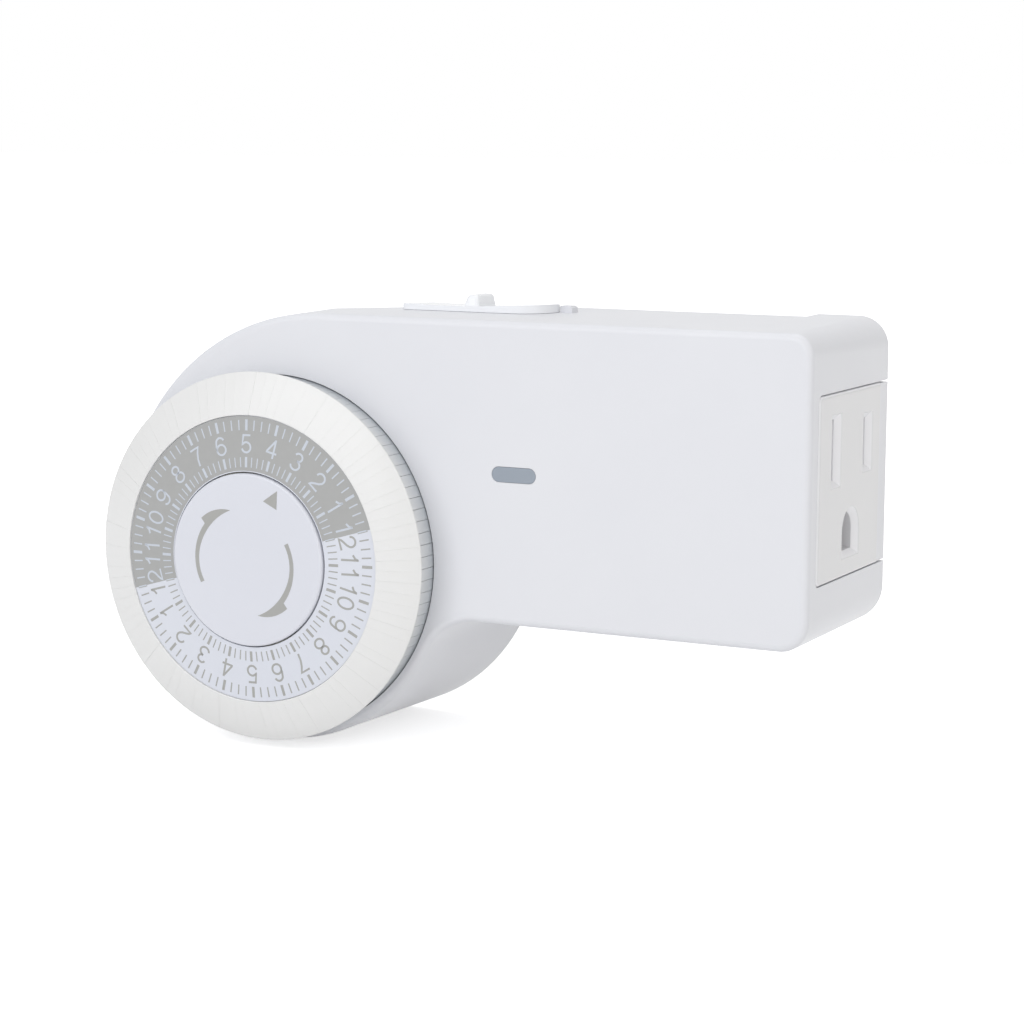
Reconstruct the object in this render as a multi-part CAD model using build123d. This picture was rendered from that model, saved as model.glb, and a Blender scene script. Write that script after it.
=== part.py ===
"""Plug-in timer switch: a 24-hour dial with push-in trippers, and one switched outlet.

The model is drawn in millimetres from the dial's centre on the front face: +X runs along the bar to the
outlet, +Y goes back to the wall, +Z is up. Every piece is moved by the same amount when it is saved, so the
finished part has its origin where the ground pin leaves the back of the case.
"""
from build123d import *
import os
from math import atan2, cos, degrees, pi, radians, sin, sqrt, tan

# ---- case ----
case_depth = 30.8
top_z = 35.75           # bar's top above the dial's axis
bar_drop = 7.63         # bar's bottom below the dial's axis
end_x = 83.7            # right-hand end
neck_r = 8.7            # hollow round between housing and bar
draft = 0.5             # how far the sides widen from front to back
corner_front_r = 3.0
corner_rear_r = 4.4
corner_low_more = 1.2   # bottom corner's radius beyond the top one's
front_wall = 2.0
side_wall = 1.9
front_edge_r = 1.0
cover_thick = 2.0
cover_gap = 0.15
relief_end_x = 73.0     # the bar's top is flat up to here, and drafted beyond
relief_z = 35.80
shoulder_x = 4.4        # behind here, the round end's top has fallen by shoulder_fall
shoulder_fall = 0.97
shoulder_slope = 0.05   # rise to the right, and to the front

# ---- clearances ----
run = 0.05              # radial clearance of a running fit
slip = 0.15             # gap beside a part that slides or drops in

# ---- dial ----
tripper_count = 96
group_count = 12
lip_y = -5.05
lip_under = 1.45        # from the lip's edge back to the skirt
skirt_back = 1.0
tripper_inner_y = -7.6
tripper_gap = 0.08      # between neighbours
tripper_travel = 1.6
leg_width = 0.84
leg_depth = 2.0
leg_back = 4.0
rim_outer_r = 21.1
rim_wall = 1.2
rim_back = 2.2
seat_width = 2.1        # guide ring's seat, from inside the rim outwards
seat_thick = 1.0
rim_run = 0.02          # guide ring on the rim
tripper_rim_gap = 0.15
leg_rim_gap = 1.2       # from the rim to the legs
guide_edge = 0.65       # guide ring outside the legs
skirt_gap = 0.1         # from the guide ring to a tripper's skirt
skirt_wall = 1.37
lip_proud = 0.98        # tripper's front outer edge beyond its skirt
recess_gap = 0.16
recess_deep = 3.0       # dial's recess, from the front face back
housing_edge = 1.52     # round housing outside the dial's recess
guide_front = -1.7
guide_thick = 1.5
guide_slot_gap = 0.08
wheel_front = -6.5
wheel_plate = 1.1
hub_r = 5.2
face_edge_gap = 0.04
face_edge_y = -7.25
face_inner_y = -7.78
cap_r = 12.73
cap_gap = 0.22
cap_front = -8.3
cap_edge_r = 0.35
post_r = 3.0
post_flange_r = 4.5
post_flange = 0.9

# ---- gear train ----
dial_teeth = 48
wheel_teeth = 48
pinion_teeth = 12
dial_module = 0.5
train_module = 0.4
pressure_angle = 20.0
tooth_share = 0.86      # tooth thickness as a share of half the pitch
addendum = 0.78         # in modules
dedendum = 1.15         # in modules
dial_gear_front = 6.8
dial_gear_width = 1.6
level_gap = 0.4
plate_gap = 0.9         # from the first wheel to the movement plate
second_wheel_width = 1.0
first_wheel_width = 1.0
second_angle = -20.0    # from the dial's axis to the second wheel
first_angle = 45.0      # from the second wheel to the first wheel
motor_angle = 200.0     # from the first wheel to the motor
arbor_r = 0.75
pinion_hub_r = 2.4

# ---- movement plate and motor ----
plate_wall_gap = 1.0    # from the movement plate's edge to the case's wall
plate_thick = 1.4
plate_cut_x = 8.0
plate_cut_z = 13.6
motor_r = 14.0
motor_room = 2.2        # behind the can, for the posts that hold it
motor_posts = ((-8.0, 6.0), (9.0, 3.0), (0.0, -10.0))  # from the motor's axis
motor_post_r = 1.5
motor_wall = 0.8
coil_inner_r = 8.2
coil_margin = 0.8
magnet_r = 7.0
magnet_margin = 1.8
shaft_r = 0.9
shaft_room = 0.6        # round the shaft, in the movement plate

# ---- screws ----
screw_r = 1.25
screw_head_r = 2.5
screw_head = 1.4
head_sunk = 0.1
cross_length = 3.2
cross_width = 0.7
cross_depth = 0.8
plate_screw_bite = 3.5
cover_screw_bite = 12.0
boss_r = 2.9
round_boss_inset = 4.3  # from the round housing's outside to its bosses' axes
round_boss_angles = (120.0, 200.0, 285.0)
bar_boss_x = 62.0
bar_boss_inset = 3.0    # from the bar's inner top and bottom
boss_front_y = 6.5
rib_thick = 1.6         # ribs that tie the round housing's bosses to its wall

# ---- lamp ----
lens_x = 39.35
lens_z = 14.07
lens_length = 6.9
lens_height = 2.15
lens_depth = 2.6
lamp_r = 2.0
lamp_length = 9.0
resistor_r = 1.1
resistor_length = 6.4
lead_r = 0.3
lamp_gap = 0.05         # between lens and lamp
resistor_gap = 2.5      # between lamp and resistor
lead_tail = 4.0

# ---- slide switch on top ----
knob_x0 = 13.8
knob_x1 = 36.9
knob_y0 = 13.0
knob_y1 = 23.8
knob_thick = 1.45       # before its top is dished
knob_low_x = 20.8       # where the dish is lowest
knob_low_thick = 0.55   # the plate's thickness there, on its middle line
knob_dish_r = 190.0
knob_fall = 0.45        # how far its back edge is lower than its front edge
knob_lift = 0.05        # between knob and case
knob_travel = 3.2
knob_corner_r = 1.0
nub_x = 24.2
nub_lean = 0.25         # nub's top beyond its foot, to the right
nub_length = 2.8
nub_width = 6.4
nub_height = 0.85       # above the plate's highest edge
nub_top = 1.9
nub_taper = 0.9
nub_sunk = 0.2          # nub's foot in the plate
nub_corner_r = 0.75
nub_edge_r = 0.65
stop_length = 1.9       # fixed stop at the knob's right
stop_y0 = 19.4
stop_y1 = 21.4
stop_height = 1.0
stop_bevel = 0.3
stem_length = 5.6
stem_width = 4.0
stem_bottom_z = 31.2
mode_body_x0 = 16.4
mode_body_x1 = 34.6
mode_body_y0 = 13.0
mode_body_y1 = 23.4
mode_body_bottom = 25.0
mode_wall = 1.0
mode_end_inset = 3.0    # from the body's end to its outer terminals
terminal_thick = 1.0
terminal_side = 3.2     # from the body's side to a terminal
terminal_slot_gap = 0.1
terminal_drop = 2.4
terminal_proud = 0.3
bridge_length = 7.2
bridge_width = 3.2
bridge_thick = 0.8
bridge_gap = 0.1
bridge_stem = 2.4

# ---- snap switch and trip lever ----
snap_x0 = 16.5
snap_x1 = 33.0
snap_z0 = 14.4
snap_z1 = 21.4
snap_front = 9.4
snap_back = 19.0
snap_wall = 1.2
ear_front = 6.0
ear_thick = 0.8
ear_half = 1.7
lever_pin_x = 25.0
lever_pin_y = 7.4
lever_pin_r = 0.75
lever_thick = 1.6
lever_tip_spare = 0.7   # lever beyond its cam
lever_boss_r = 1.45
lever_swing = 6.0
lever_tail = 1.2
lever_side_gap = 0.2
cam_gap = 0.15          # between the cam and a pushed-in tripper's leg
cam_length = 2.0
cam_width = 2.6
plunger_x = 20.5
plunger_r = 0.9
plunger_gap = 0.1
plunger_end = 12.6
leaf_thick = 0.3
leaf_width = 3.0
leaf_anchor = 2.0
snap_front_wall = 2.4
snap_stop_inset = 2.0   # from the switch's left end to the cover's first stop
snap_stop_far = 9.0     # from its right end to the second
snap_stop_length = 3.0
snap_stop_height = 2.0

# ---- plug ----
plug_x = 52.0
blade_line_z = 19.16
blade_pitch = 12.7
ground_drop = 11.9
blade_thick = 1.5
hot_blade_height = 6.35
neutral_blade_height = 7.9
blade_out = 17.5
blade_tip = 1.6
blade_hole_r = 1.6
blade_hole_back = 5.0
foot_length = 5.6
foot_thick = 1.2
pin_r = 2.4
pin_out = 21.0
pin_neck_r = 2.6        # where the pin passes through the cover
pin_flange_r = 3.9

# ---- outlet ----
outlet_y0 = 2.98
outlet_rear = 3.32      # from the insert's rear edge to the back of the case
outlet_z0 = 1.20
outlet_z1 = 27.10
outlet_gap = 0.16
outlet_proud = 0.22
outlet_thick = 2.6
outlet_edge_r = 0.5
outlet_corner_r = 1.0
outlet_neutral_y = 9.54
slot_width = 2.2
neutral_slot_height = 8.5
hot_slot_height = 6.7
slot_bevel = 0.9
ground_width = 5.2
ground_height = 5.4
chamber_x0 = 69.5
chamber_y0 = 4.0
chamber_rear = 0.98     # chamber in front of the insert's rear edge
chamber_z0 = 2.4
chamber_z1 = 26.0
chamber_wall = 1.0
divider_x1 = 78.4
shutter_thick = 1.6
shutter_front_gap = 0.3
shutter_y0 = 8.2
shutter_y1 = 23.9
shutter_overlap = 0.5   # above and below the neutral slot
shutter_travel = 3.0
spring_r = 0.9
spring_bore_r = 0.55
contact_web = 0.8
contact_leaf = 0.7
contact_length = 8.0
contact_spare = 0.1     # each side of a blade
pin_spare = -0.1        # the ground leaves stand this much inside the pin

# ---- conductors ----
bar_thick = 1.2
supply_z0 = 13.4
supply_z1 = 17.6
load_z0 = 16.2
load_z1 = 20.2
load_gap = 1.56         # from the load bar back to the supply bar
neutral_top_z0 = 24.2
neutral_top_z1 = 27.6
ground_bar_height = 4.6
motor_lead_r = 0.55
lead_spread = 2.2       # each lead's height above or below the motor's axis
bar_level_gap = 0.8     # from the supply bar back to the other bars
bar_overlap = 2.5       # over the snap switch's end
bar_foot = 4.0
ground_bar_start = 3.0  # left of the ground pin
contact_tab = 2.2

# ---- worked out from the above ----
tripper_inner_r = rim_outer_r + tripper_rim_gap
leg_inner_r = rim_outer_r + leg_rim_gap
leg_outer_r = leg_inner_r + leg_depth
guide_outer_r = leg_outer_r + guide_edge
skirt_inner_r = guide_outer_r + skirt_gap
skirt_r = skirt_inner_r + skirt_wall
lip_r = skirt_r + lip_proud
recess_r = skirt_r + recess_gap
round_r = recess_r + housing_edge
round_boss_r = round_r - round_boss_inset
plate_r = round_r - side_wall - plate_wall_gap
face_inner_r = cap_r + cap_gap
face_outer_r = rim_outer_r - face_edge_gap
hot_blade_x = plug_x + blade_pitch / 2
neutral_blade_x = plug_x - blade_pitch / 2
ground_z = blade_line_z - ground_drop
outlet_hot_y = outlet_neutral_y + blade_pitch
outlet_ground_y = outlet_neutral_y + blade_pitch / 2
cover_front = case_depth - cover_thick
second_front = dial_gear_front + dial_gear_width + level_gap
first_front = second_front + second_wheel_width + level_gap
plate_front = first_front + first_wheel_width + plate_gap
plate_back = plate_front + plate_thick
dial_centres = dial_module * (dial_teeth + pinion_teeth) / 2
train_centres = train_module * (wheel_teeth + pinion_teeth) / 2
second_x = dial_centres * cos(radians(second_angle))
second_z = dial_centres * sin(radians(second_angle))
first_x = second_x + train_centres * cos(radians(first_angle))
first_z = second_z + train_centres * sin(radians(first_angle))
motor_x = first_x + train_centres * cos(radians(motor_angle))
motor_z = first_z + train_centres * sin(radians(motor_angle))
motor_depth = cover_front - plate_back - motor_room
coil_outer_r = motor_r - motor_wall
outlet_y1 = case_depth - outlet_rear
chamber_y1 = outlet_y1 - chamber_rear
outlet_x = end_x + outlet_proud
inner_end_x = end_x - side_wall
bus_y1 = cover_front - foot_thick
bus_y0 = bus_y1 - bar_thick
supply_y0 = bus_y0 - bar_level_gap - bar_thick
load_y0 = supply_y0 - load_gap - bar_thick
bar_web_x = chamber_x0 - contact_web
bar_end_x0 = bar_web_x - bar_thick


# ---- helpers ----
def facing(y):
    """A drawing plane parallel to the front face, y behind it."""
    return Plane(origin=(0, y, 0), x_dir=(1, 0, 0), z_dir=(0, -1, 0))


def slab(sketch, y0, y1):
    """A front-view sketch given depth from y0 back to y1."""
    return extrude(facing(y1) * sketch, y1 - y0)


def block(x0, x1, y0, y1, z0, z1):
    size = (x1 - x0, y1 - y0, z1 - z0)
    return Pos((x0 + x1) / 2, (y0 + y1) / 2, (z0 + z1) / 2) * Box(*size)


def rod(x, z, r, y0, y1):
    return Pos(x, (y0 + y1) / 2, z) * Rot(90, 0, 0) * Cylinder(r, y1 - y0)


def tube(x, z, r, bore, y0, y1):
    return rod(x, z, r, y0, y1) - rod(x, z, bore, y0 - 1, y1 + 1)


def save(name, *solids):
    """Move a piece to the part's own origin and write it."""
    shift = Pos(-plug_x, -case_depth, -ground_z)
    moved = [shift * s for s in solids]
    piece = moved[0] if len(moved) == 1 else Compound(children=moved)
    export_step(piece, os.path.join("parts", name + ".step"))


# ---- case outline ----
def case_outline(grow, corner_r, end):
    """Front-view outline of housing and bar, grown outwards by grow."""
    low_r = round_r + grow
    top = top_z + grow
    bottom = -(bar_drop + grow)
    arc_x = top_z - round_r
    neck = neck_r - grow
    neck_z = bottom - neck
    neck_x = sqrt((low_r + neck) ** 2 - neck_z ** 2)
    join = atan2(neck_z, neck_x)
    low_mid = (join - pi) / 2
    neck_mid = (join + pi + pi / 2) / 2
    low_corner_r = corner_r + corner_low_more
    c = corner_r * (1 - sin(pi / 4))
    low_c = low_corner_r * (1 - sin(pi / 4))
    left = (-low_r, 0)
    joined = (low_r * cos(join), low_r * sin(join))
    big_mid = (arc_x - top * sin(pi / 4), top * sin(pi / 4))
    edges = [
        ThreePointArc((arc_x, top), big_mid, left),
        ThreePointArc(left, (low_r * cos(low_mid), low_r * sin(low_mid)), joined),
        ThreePointArc(joined, (neck_x + neck * cos(neck_mid), neck_z + neck * sin(neck_mid)),
                      (neck_x, bottom)),
        Line((neck_x, bottom), (end - low_corner_r, bottom)),
        ThreePointArc((end - low_corner_r, bottom), (end - low_c, bottom + low_c),
                      (end, bottom + low_corner_r)),
        Line((end, bottom + low_corner_r), (end, top - corner_r)),
        ThreePointArc((end, top - corner_r), (end - c, top - c), (end - corner_r, top)),
        Line((end - corner_r, top), (arc_x, top)),
    ]
    return make_face(edges)


def case_form(inset, y0, y1):
    """The case's drafted form between two depths, inset from its outside. Its top slopes down to a
    low shoulder at the round end's back."""
    sections = []
    for y in (y0, y1):
        share = y / case_depth
        grow = draft * share - inset
        corner = corner_front_r + (corner_rear_r - corner_front_r) * share
        sections.append(facing(y) * case_outline(grow, max(corner - inset, 0.6), end_x - inset))
    above = Plane(origin=(shoulder_x, case_depth, top_z - shoulder_fall - inset),
                  x_dir=(1, 0, shoulder_slope), z_dir=(-shoulder_slope, shoulder_slope, 1))
    return loft(sections, ruled=True) - above * Pos(0, 0, case_depth) * Box(300, 300, 2 * case_depth)


def round_bosses():
    """Screw places in the round housing, as (x, z)."""
    return [(round_boss_r * cos(radians(a)), round_boss_r * sin(radians(a))) for a in round_boss_angles]


def bar_bosses():
    low = -bar_drop + side_wall + bar_boss_inset
    high = top_z - side_wall - bar_boss_inset
    return [(bar_boss_x, low), (bar_boss_x, high)]


def blade_opening(y, width, height, bevel):
    """A slot cut through the outlet face, wider at its mouth."""
    deep = block(outlet_x - outlet_thick - 1, outlet_x + 1, y - width / 2, y + width / 2,
                 blade_line_z - height / 2, blade_line_z + height / 2)
    face = Plane(origin=(outlet_x, y, blade_line_z), x_dir=(0, 1, 0), z_dir=(1, 0, 0))
    mouth = loft([face * Rectangle(width + 2 * bevel, height + 2 * bevel),
                  face.offset(-bevel) * Rectangle(width, height)], ruled=True)
    return deep + mouth


# ---- case pieces ----
def front_shell():
    shell = case_form(0, 0, case_depth)
    rim = shell.faces().sort_by(Axis.Y)[0].outer_wire().edges()
    shell = fillet(rim, front_edge_r)
    shell -= block(-2 * round_r, relief_end_x, -1, case_depth + 1, relief_z, top_z + 5)
    shell -= case_form(side_wall, front_wall, case_depth + 0.5)
    for angle in round_boss_angles:
        rib = block(round_boss_r, top_z, boss_front_y, plate_front, -rib_thick / 2, rib_thick / 2)
        shell += Rot(0, -angle, 0) * rib
    for x, z in round_bosses():
        shell += rod(x, z, boss_r, boss_front_y, plate_front)
    for x, z in bar_bosses():
        shell += rod(x, z, boss_r, front_wall - 0.5, cover_front)
    shell &= case_form(0, -1, case_depth + 1)
    shell -= rod(0, 0, recess_r, -1, recess_deep)
    lens = Pos(lens_x, lens_z) * SlotOverall(lens_length + 2 * run, lens_height + 2 * run)
    shell -= slab(lens, -1, front_wall + 1)
    for x, z in round_bosses():
        shell -= rod(x, z, screw_r, boss_front_y + 1, plate_front + 1)
    for x, z in bar_bosses():
        shell -= rod(x, z, screw_r, cover_front - 15, cover_front + 1)
    opening = block(inner_end_x - 2, end_x + 1, outlet_y0 - outlet_gap, case_depth + 1,
                    outlet_z0 - outlet_gap, outlet_z1 + outlet_gap)
    front_corners = opening.edges().filter_by(Axis.X).group_by(Axis.Y)[0]
    shell -= fillet(front_corners, outlet_corner_r + outlet_gap)
    slot_x0 = knob_centre_x() - stem_length / 2 - knob_travel - slip
    slot_x1 = knob_centre_x() + stem_length / 2 + slip
    stem_y = knob_centre_y()
    shell -= block(slot_x0, slot_x1, stem_y - stem_width / 2 - slip, stem_y + stem_width / 2 + slip,
                   top_z - side_wall - 2, top_z + 2)
    stop_x0 = knob_x1 + slip
    stop = block(stop_x0, stop_x0 + stop_length, stop_y0, stop_y1, top_z - 1, relief_z + stop_height)
    right_edge = stop.edges().filter_by(Axis.Y).group_by(Axis.Z)[-1].sort_by(Axis.X)[-1]
    return shell + chamfer(right_edge, stop_bevel)


def knob_centre_x():
    return (knob_x0 + knob_x1) / 2


def knob_centre_y():
    return (knob_y0 + knob_y1) / 2


def back_cover():
    plate = case_form(side_wall + cover_gap, cover_front, case_depth)
    tab = block(inner_end_x - 3, end_x, outlet_y1 + slip, case_depth,
                outlet_z0 + slip, outlet_z1 - slip)
    cover = plate + tab
    for x, z in round_bosses():
        cover += rod(x, z, boss_r - 0.4, plate_back, cover_front + 0.5)
    for dx, dz in motor_posts:
        cover += rod(motor_x + dx, motor_z + dz, motor_post_r, plate_back + motor_depth, cover_front + 0.5)
    for x in (snap_x0 + snap_stop_inset, snap_x1 - snap_stop_far):
        cover += block(x, x + snap_stop_length, snap_back, cover_front + 0.5,
                       snap_z1 - snap_wall - snap_stop_height, snap_z1 - snap_wall)
    for x, z in round_bosses() + bar_bosses():
        cover -= rod(x, z, screw_r + run, plate_back - 1, case_depth + 1)
        cover -= rod(x, z, screw_head_r + run, case_depth - screw_head, case_depth + 1)
    for x, height in ((hot_blade_x, hot_blade_height), (neutral_blade_x, neutral_blade_height)):
        half = blade_thick / 2 + run
        cover -= block(x - half, x + half, cover_front - 1, case_depth + 1,
                       blade_line_z - height / 2 - run, blade_line_z + height / 2 + run)
    cover -= rod(plug_x, ground_z, pin_neck_r + run, cover_front - 1, case_depth + 1)
    return cover


def case_screws():
    """Three long screws clamp the movement plate, two short ones hold the cover to the bar."""
    screws = []
    for x, z in round_bosses():
        screws.append(screw(x, z, plate_front - plate_screw_bite))
    for x, z in bar_bosses():
        screws.append(screw(x, z, cover_front - cover_screw_bite))
    return screws


def screw(x, z, front):
    head = rod(x, z, screw_head_r, case_depth - screw_head, case_depth - head_sunk)
    shank = rod(x, z, screw_r - run, front, case_depth - screw_head)
    long = cross_length / 2
    short = cross_width / 2
    cross = block(x - short, x + short, case_depth - cross_depth, case_depth, z - long, z + long)
    cross += block(x - long, x + long, case_depth - cross_depth, case_depth, z - short, z + short)
    return head + shank - cross


# ---- dial ----
def tripper():
    """One tripper at the top of the dial: wedge-shaped cap and skirt, with a flat leg."""
    y_at_skirt = lip_y + (skirt_back - lip_y) * 0.25
    outline = [
        (tripper_inner_r, tripper_inner_y), (lip_r, lip_y), (skirt_r, lip_y + lip_under),
        (skirt_r, skirt_back), (skirt_inner_r, skirt_back),
        (skirt_inner_r, y_at_skirt), (leg_inner_r, y_at_skirt - 1.0), (tripper_inner_r, y_at_skirt - 1.4),
    ]
    half_turn = pi / tripper_count
    side = Plane(origin=(0, 0, 0), x_dir=(0, 0, 1), z_dir=(-1, 0, 0))
    body = extrude(side * make_face(Polyline(outline, close=True)), 2.0, both=True)
    near = tripper_inner_r - 1
    far = lip_r + 1
    trim = tripper_gap / 2
    wedge = Polyline([(-near * tan(half_turn) + trim, near), (near * tan(half_turn) - trim, near),
                      (far * tan(half_turn) - trim, far), (-far * tan(half_turn) + trim, far)], close=True)
    body &= slab(make_face(wedge), tripper_inner_y - 1, leg_back + 1)
    leg = block(-leg_width / 2, leg_width / 2, y_at_skirt - 1.2, leg_back, leg_inner_r, leg_outer_r)
    return body + leg


def tripper_group(index):
    """Neighbouring trippers that cover two hours of the dial."""
    one = tripper()
    per_group = tripper_count // group_count
    step = 360 / tripper_count
    first = index * per_group
    return [Rot(0, (first + k + 0.5) * step, 0) * one for k in range(per_group)]


def trip_guide():
    """Flat ring with one slot for each tripper's leg."""
    half_turn = pi / tripper_count
    outer = ring_polygon(guide_outer_r)
    inner = ring_polygon((rim_outer_r + rim_run) / cos(half_turn))
    slots = [Rot(0, 0, (k + 0.5) * 360 / tripper_count)
             * Pos(0, (leg_inner_r + leg_outer_r) / 2)
             * Rectangle(leg_width + 2 * guide_slot_gap, leg_outer_r - leg_inner_r + 2 * guide_slot_gap)
             for k in range(tripper_count)]
    return slab(outer - inner - slots, guide_front, guide_front + guide_thick)


def ring_polygon(radius):
    steps = [2 * pi * k / tripper_count for k in range(tripper_count)]
    return make_face(Polyline([(radius * cos(a), radius * sin(a)) for a in steps], close=True))


def dial_wheel():
    """Hub, front plate, rim with the guide ring's seat, and the dial's gear, in one moulding."""
    gear_back = dial_gear_front + dial_gear_width
    wheel = rod(0, 0, rim_outer_r, wheel_front, wheel_front + wheel_plate)
    wheel += tube(0, 0, rim_outer_r, rim_outer_r - rim_wall, wheel_front, rim_back)
    seat_y = guide_front + guide_thick
    inside = rim_outer_r - rim_wall
    wheel += tube(0, 0, inside + seat_width, inside, seat_y, seat_y + seat_thick)
    wheel += rod(0, 0, hub_r, wheel_front, gear_back)
    wheel += gear(dial_teeth, dial_module, dial_gear_front, gear_back, second_angle)
    return wheel - rod(0, 0, post_r + run, wheel_front - 1, gear_back + 1)


def dial_face():
    """Printed disc, a little conical, with the cap's hole in its middle."""
    back = wheel_front
    side = Plane(origin=(0, 0, 0), x_dir=(1, 0, 0), z_dir=(0, 0, 1))
    outline = Polyline([(face_inner_r, face_inner_y), (face_outer_r, face_edge_y), (face_outer_r, back),
                        (face_inner_r, back)], close=True)
    return revolve(side * make_face(outline), Axis.Y)


def centre_cap():
    cap = rod(0, 0, cap_r, cap_front, wheel_front - slip)
    rim = cap.edges().group_by(Axis.Y)[0]
    return fillet(rim, cap_edge_r)


def dial_post():
    post = rod(0, 0, post_r, wheel_front - slip, plate_front)
    post += rod(0, 0, post_flange_r, plate_front - post_flange, plate_front)
    return post + rod(0, 0, post_r - 1, plate_front, plate_back)


# ---- gear train ----
def gear(teeth, module, y0, y1, angle):
    """Spur gear about the origin with one tooth pointing along angle, and involute flanks."""
    pitch_r = module * teeth / 2
    base_r = pitch_r * cos(radians(pressure_angle))
    tip_r = pitch_r + addendum * module
    root_r = pitch_r - dedendum * module
    half_pitch = tooth_share * pi / (2 * teeth)
    start = involute(radians(pressure_angle))
    radii = [max(base_r, root_r + 0.01) + (tip_r - max(base_r, root_r + 0.01)) * k / 3 for k in range(4)]
    flank = [(r, half_pitch + start - involute(acos_ratio(base_r, r))) for r in radii]
    flank = [(root_r, flank[0][1] + 0.25 * module / root_r)] + flank
    points = []
    for k in range(teeth):
        centre = radians(angle) + 2 * pi * k / teeth
        points += [(r * cos(centre - a), r * sin(centre - a)) for r, a in flank]
        points += [(r * cos(centre + a), r * sin(centre + a)) for r, a in reversed(flank)]
    return slab(make_face(Polyline(points, close=True)), y0, y1)


def involute(angle):
    return tan(angle) - angle


def acos_ratio(base_r, r):
    """Angle whose cosine is base_r / r, from its tangent."""
    return atan2(sqrt(max(r * r - base_r * base_r, 0)), base_r)


def gap_angle(angle, teeth):
    """Where a gear has a tooth, so that it has a gap at angle."""
    return angle + 180 / teeth


def second_wheel():
    """Wheel and pinion in one: the pinion meets the dial's gear."""
    back = second_front + second_wheel_width
    pinion = gear(pinion_teeth, dial_module, dial_gear_front + 0.1, second_front,
                  gap_angle(second_angle + 180, pinion_teeth))
    wheel = gear(wheel_teeth, train_module, second_front, back, first_angle)
    return Pos(second_x, 0, second_z) * (pinion + wheel - rod(0, 0, arbor_r + run, 0, back + 1))


def first_wheel():
    back = first_front + first_wheel_width
    pinion = gear(pinion_teeth, train_module, second_front - 0.1, first_front,
                  gap_angle(first_angle + 180, pinion_teeth))
    wheel = gear(wheel_teeth, train_module, first_front, back, motor_angle)
    return Pos(first_x, 0, first_z) * (pinion + wheel - rod(0, 0, arbor_r + run, 0, back + 1))


def pivot_pins():
    """Fixed steel pins of the two wheels, and the trip lever's pin."""
    second = rod(second_x, second_z, arbor_r, dial_gear_front, plate_back)
    first = rod(first_x, first_z, arbor_r, second_front - 0.1, plate_back)
    return [second, first]


def lever_pin():
    z_mid = (snap_z0 + snap_z1) / 2
    return Pos(lever_pin_x, lever_pin_y, z_mid) * Cylinder(lever_pin_r, snap_z1 - snap_z0)


def movement_plate():
    plate = rod(0, 0, plate_r, plate_front, plate_back)
    plate -= block(plate_cut_x, plate_r + 1, plate_front - 1, plate_back + 1, plate_cut_z, plate_r + 1)
    plate -= rod(0, 0, post_r - 1 + run, plate_front - 1, plate_back + 1)
    plate -= rod(second_x, second_z, arbor_r, plate_front - 1, plate_back + 1)
    plate -= rod(first_x, first_z, arbor_r, plate_front - 1, plate_back + 1)
    plate -= rod(motor_x, motor_z, shaft_r + shaft_room, plate_front - 1, plate_back + 1)
    for x, z in round_bosses():
        plate -= rod(x, z, screw_r + run, plate_front - 1, plate_back + 1)
    return plate


def motor_can():
    back = plate_back + motor_depth
    can = rod(motor_x, motor_z, motor_r, plate_back, back)
    can -= rod(motor_x, motor_z, motor_r - motor_wall, plate_back + motor_wall, back - motor_wall)
    return can - rod(motor_x, motor_z, shaft_r + run, plate_back - 1, back + 1)


def motor_coil():
    front = plate_back + motor_wall + coil_margin
    back = plate_back + motor_depth - motor_wall - coil_margin
    return tube(motor_x, motor_z, coil_outer_r, coil_inner_r, front, back)


def motor_rotor():
    """Magnet, shaft and the pinion that drives the first wheel."""
    front = first_front - 0.1
    pinion_back = first_front + first_wheel_width + 0.1
    pinion = gear(pinion_teeth, train_module, front, pinion_back,
                  gap_angle(motor_angle + 180, pinion_teeth))
    rotor = Pos(motor_x, 0, motor_z) * pinion
    rotor += rod(motor_x, motor_z, shaft_r, front, plate_back + motor_depth - 0.2)
    magnet_front = plate_back + magnet_margin
    magnet_back = plate_back + motor_depth - magnet_margin
    return rotor + rod(motor_x, motor_z, magnet_r, magnet_front, magnet_back)


# ---- switches ----
def knob_plan():
    """The plate from above: small corners at its left end, one full round at its right."""
    width = knob_y1 - knob_y0
    round_x = knob_x1 - width / 2
    plan = Pos((knob_x0 + round_x) / 2, knob_centre_y()) * Rectangle(round_x - knob_x0, width)
    plan = fillet(plan.vertices().group_by(Axis.X)[0], knob_corner_r)
    return plan + Pos(round_x, knob_centre_y()) * Circle(width / 2)


def mode_knob():
    """Dished plate, round at one end, with a finger nub on top and a stem through the case's slot."""
    bottom = relief_z + knob_lift
    top = bottom + knob_thick
    stem_y = knob_centre_y()
    plate = extrude(Plane.XY.offset(bottom) * knob_plan(), knob_thick)
    tilt = atan2(knob_fall, knob_y1 - knob_y0)
    dish_z = bottom + knob_low_thick + knob_dish_r / cos(tilt)
    plate -= Pos(knob_low_x, stem_y, dish_z) * Rot(90 - degrees(tilt), 0, 0) * Cylinder(knob_dish_r, 40)
    low = Plane(origin=(nub_x, stem_y, bottom + nub_sunk), x_dir=(1, 0, 0), z_dir=(0, 0, 1))
    high = Plane(origin=(nub_x + nub_lean, stem_y, top + nub_height), x_dir=(1, 0, 0), z_dir=(0, 0, 1))
    nub = loft([low * RectangleRounded(nub_length, nub_width, nub_corner_r),
                high * RectangleRounded(nub_top, nub_width - nub_taper, nub_corner_r)])
    nub = fillet(nub.edges().group_by(Axis.Z)[-1], nub_edge_r)
    stem = block(knob_centre_x() - stem_length / 2, knob_centre_x() + stem_length / 2,
                 stem_y - stem_width / 2, stem_y + stem_width / 2, stem_bottom_z, bottom + 0.2)
    return plate + nub + stem


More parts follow.
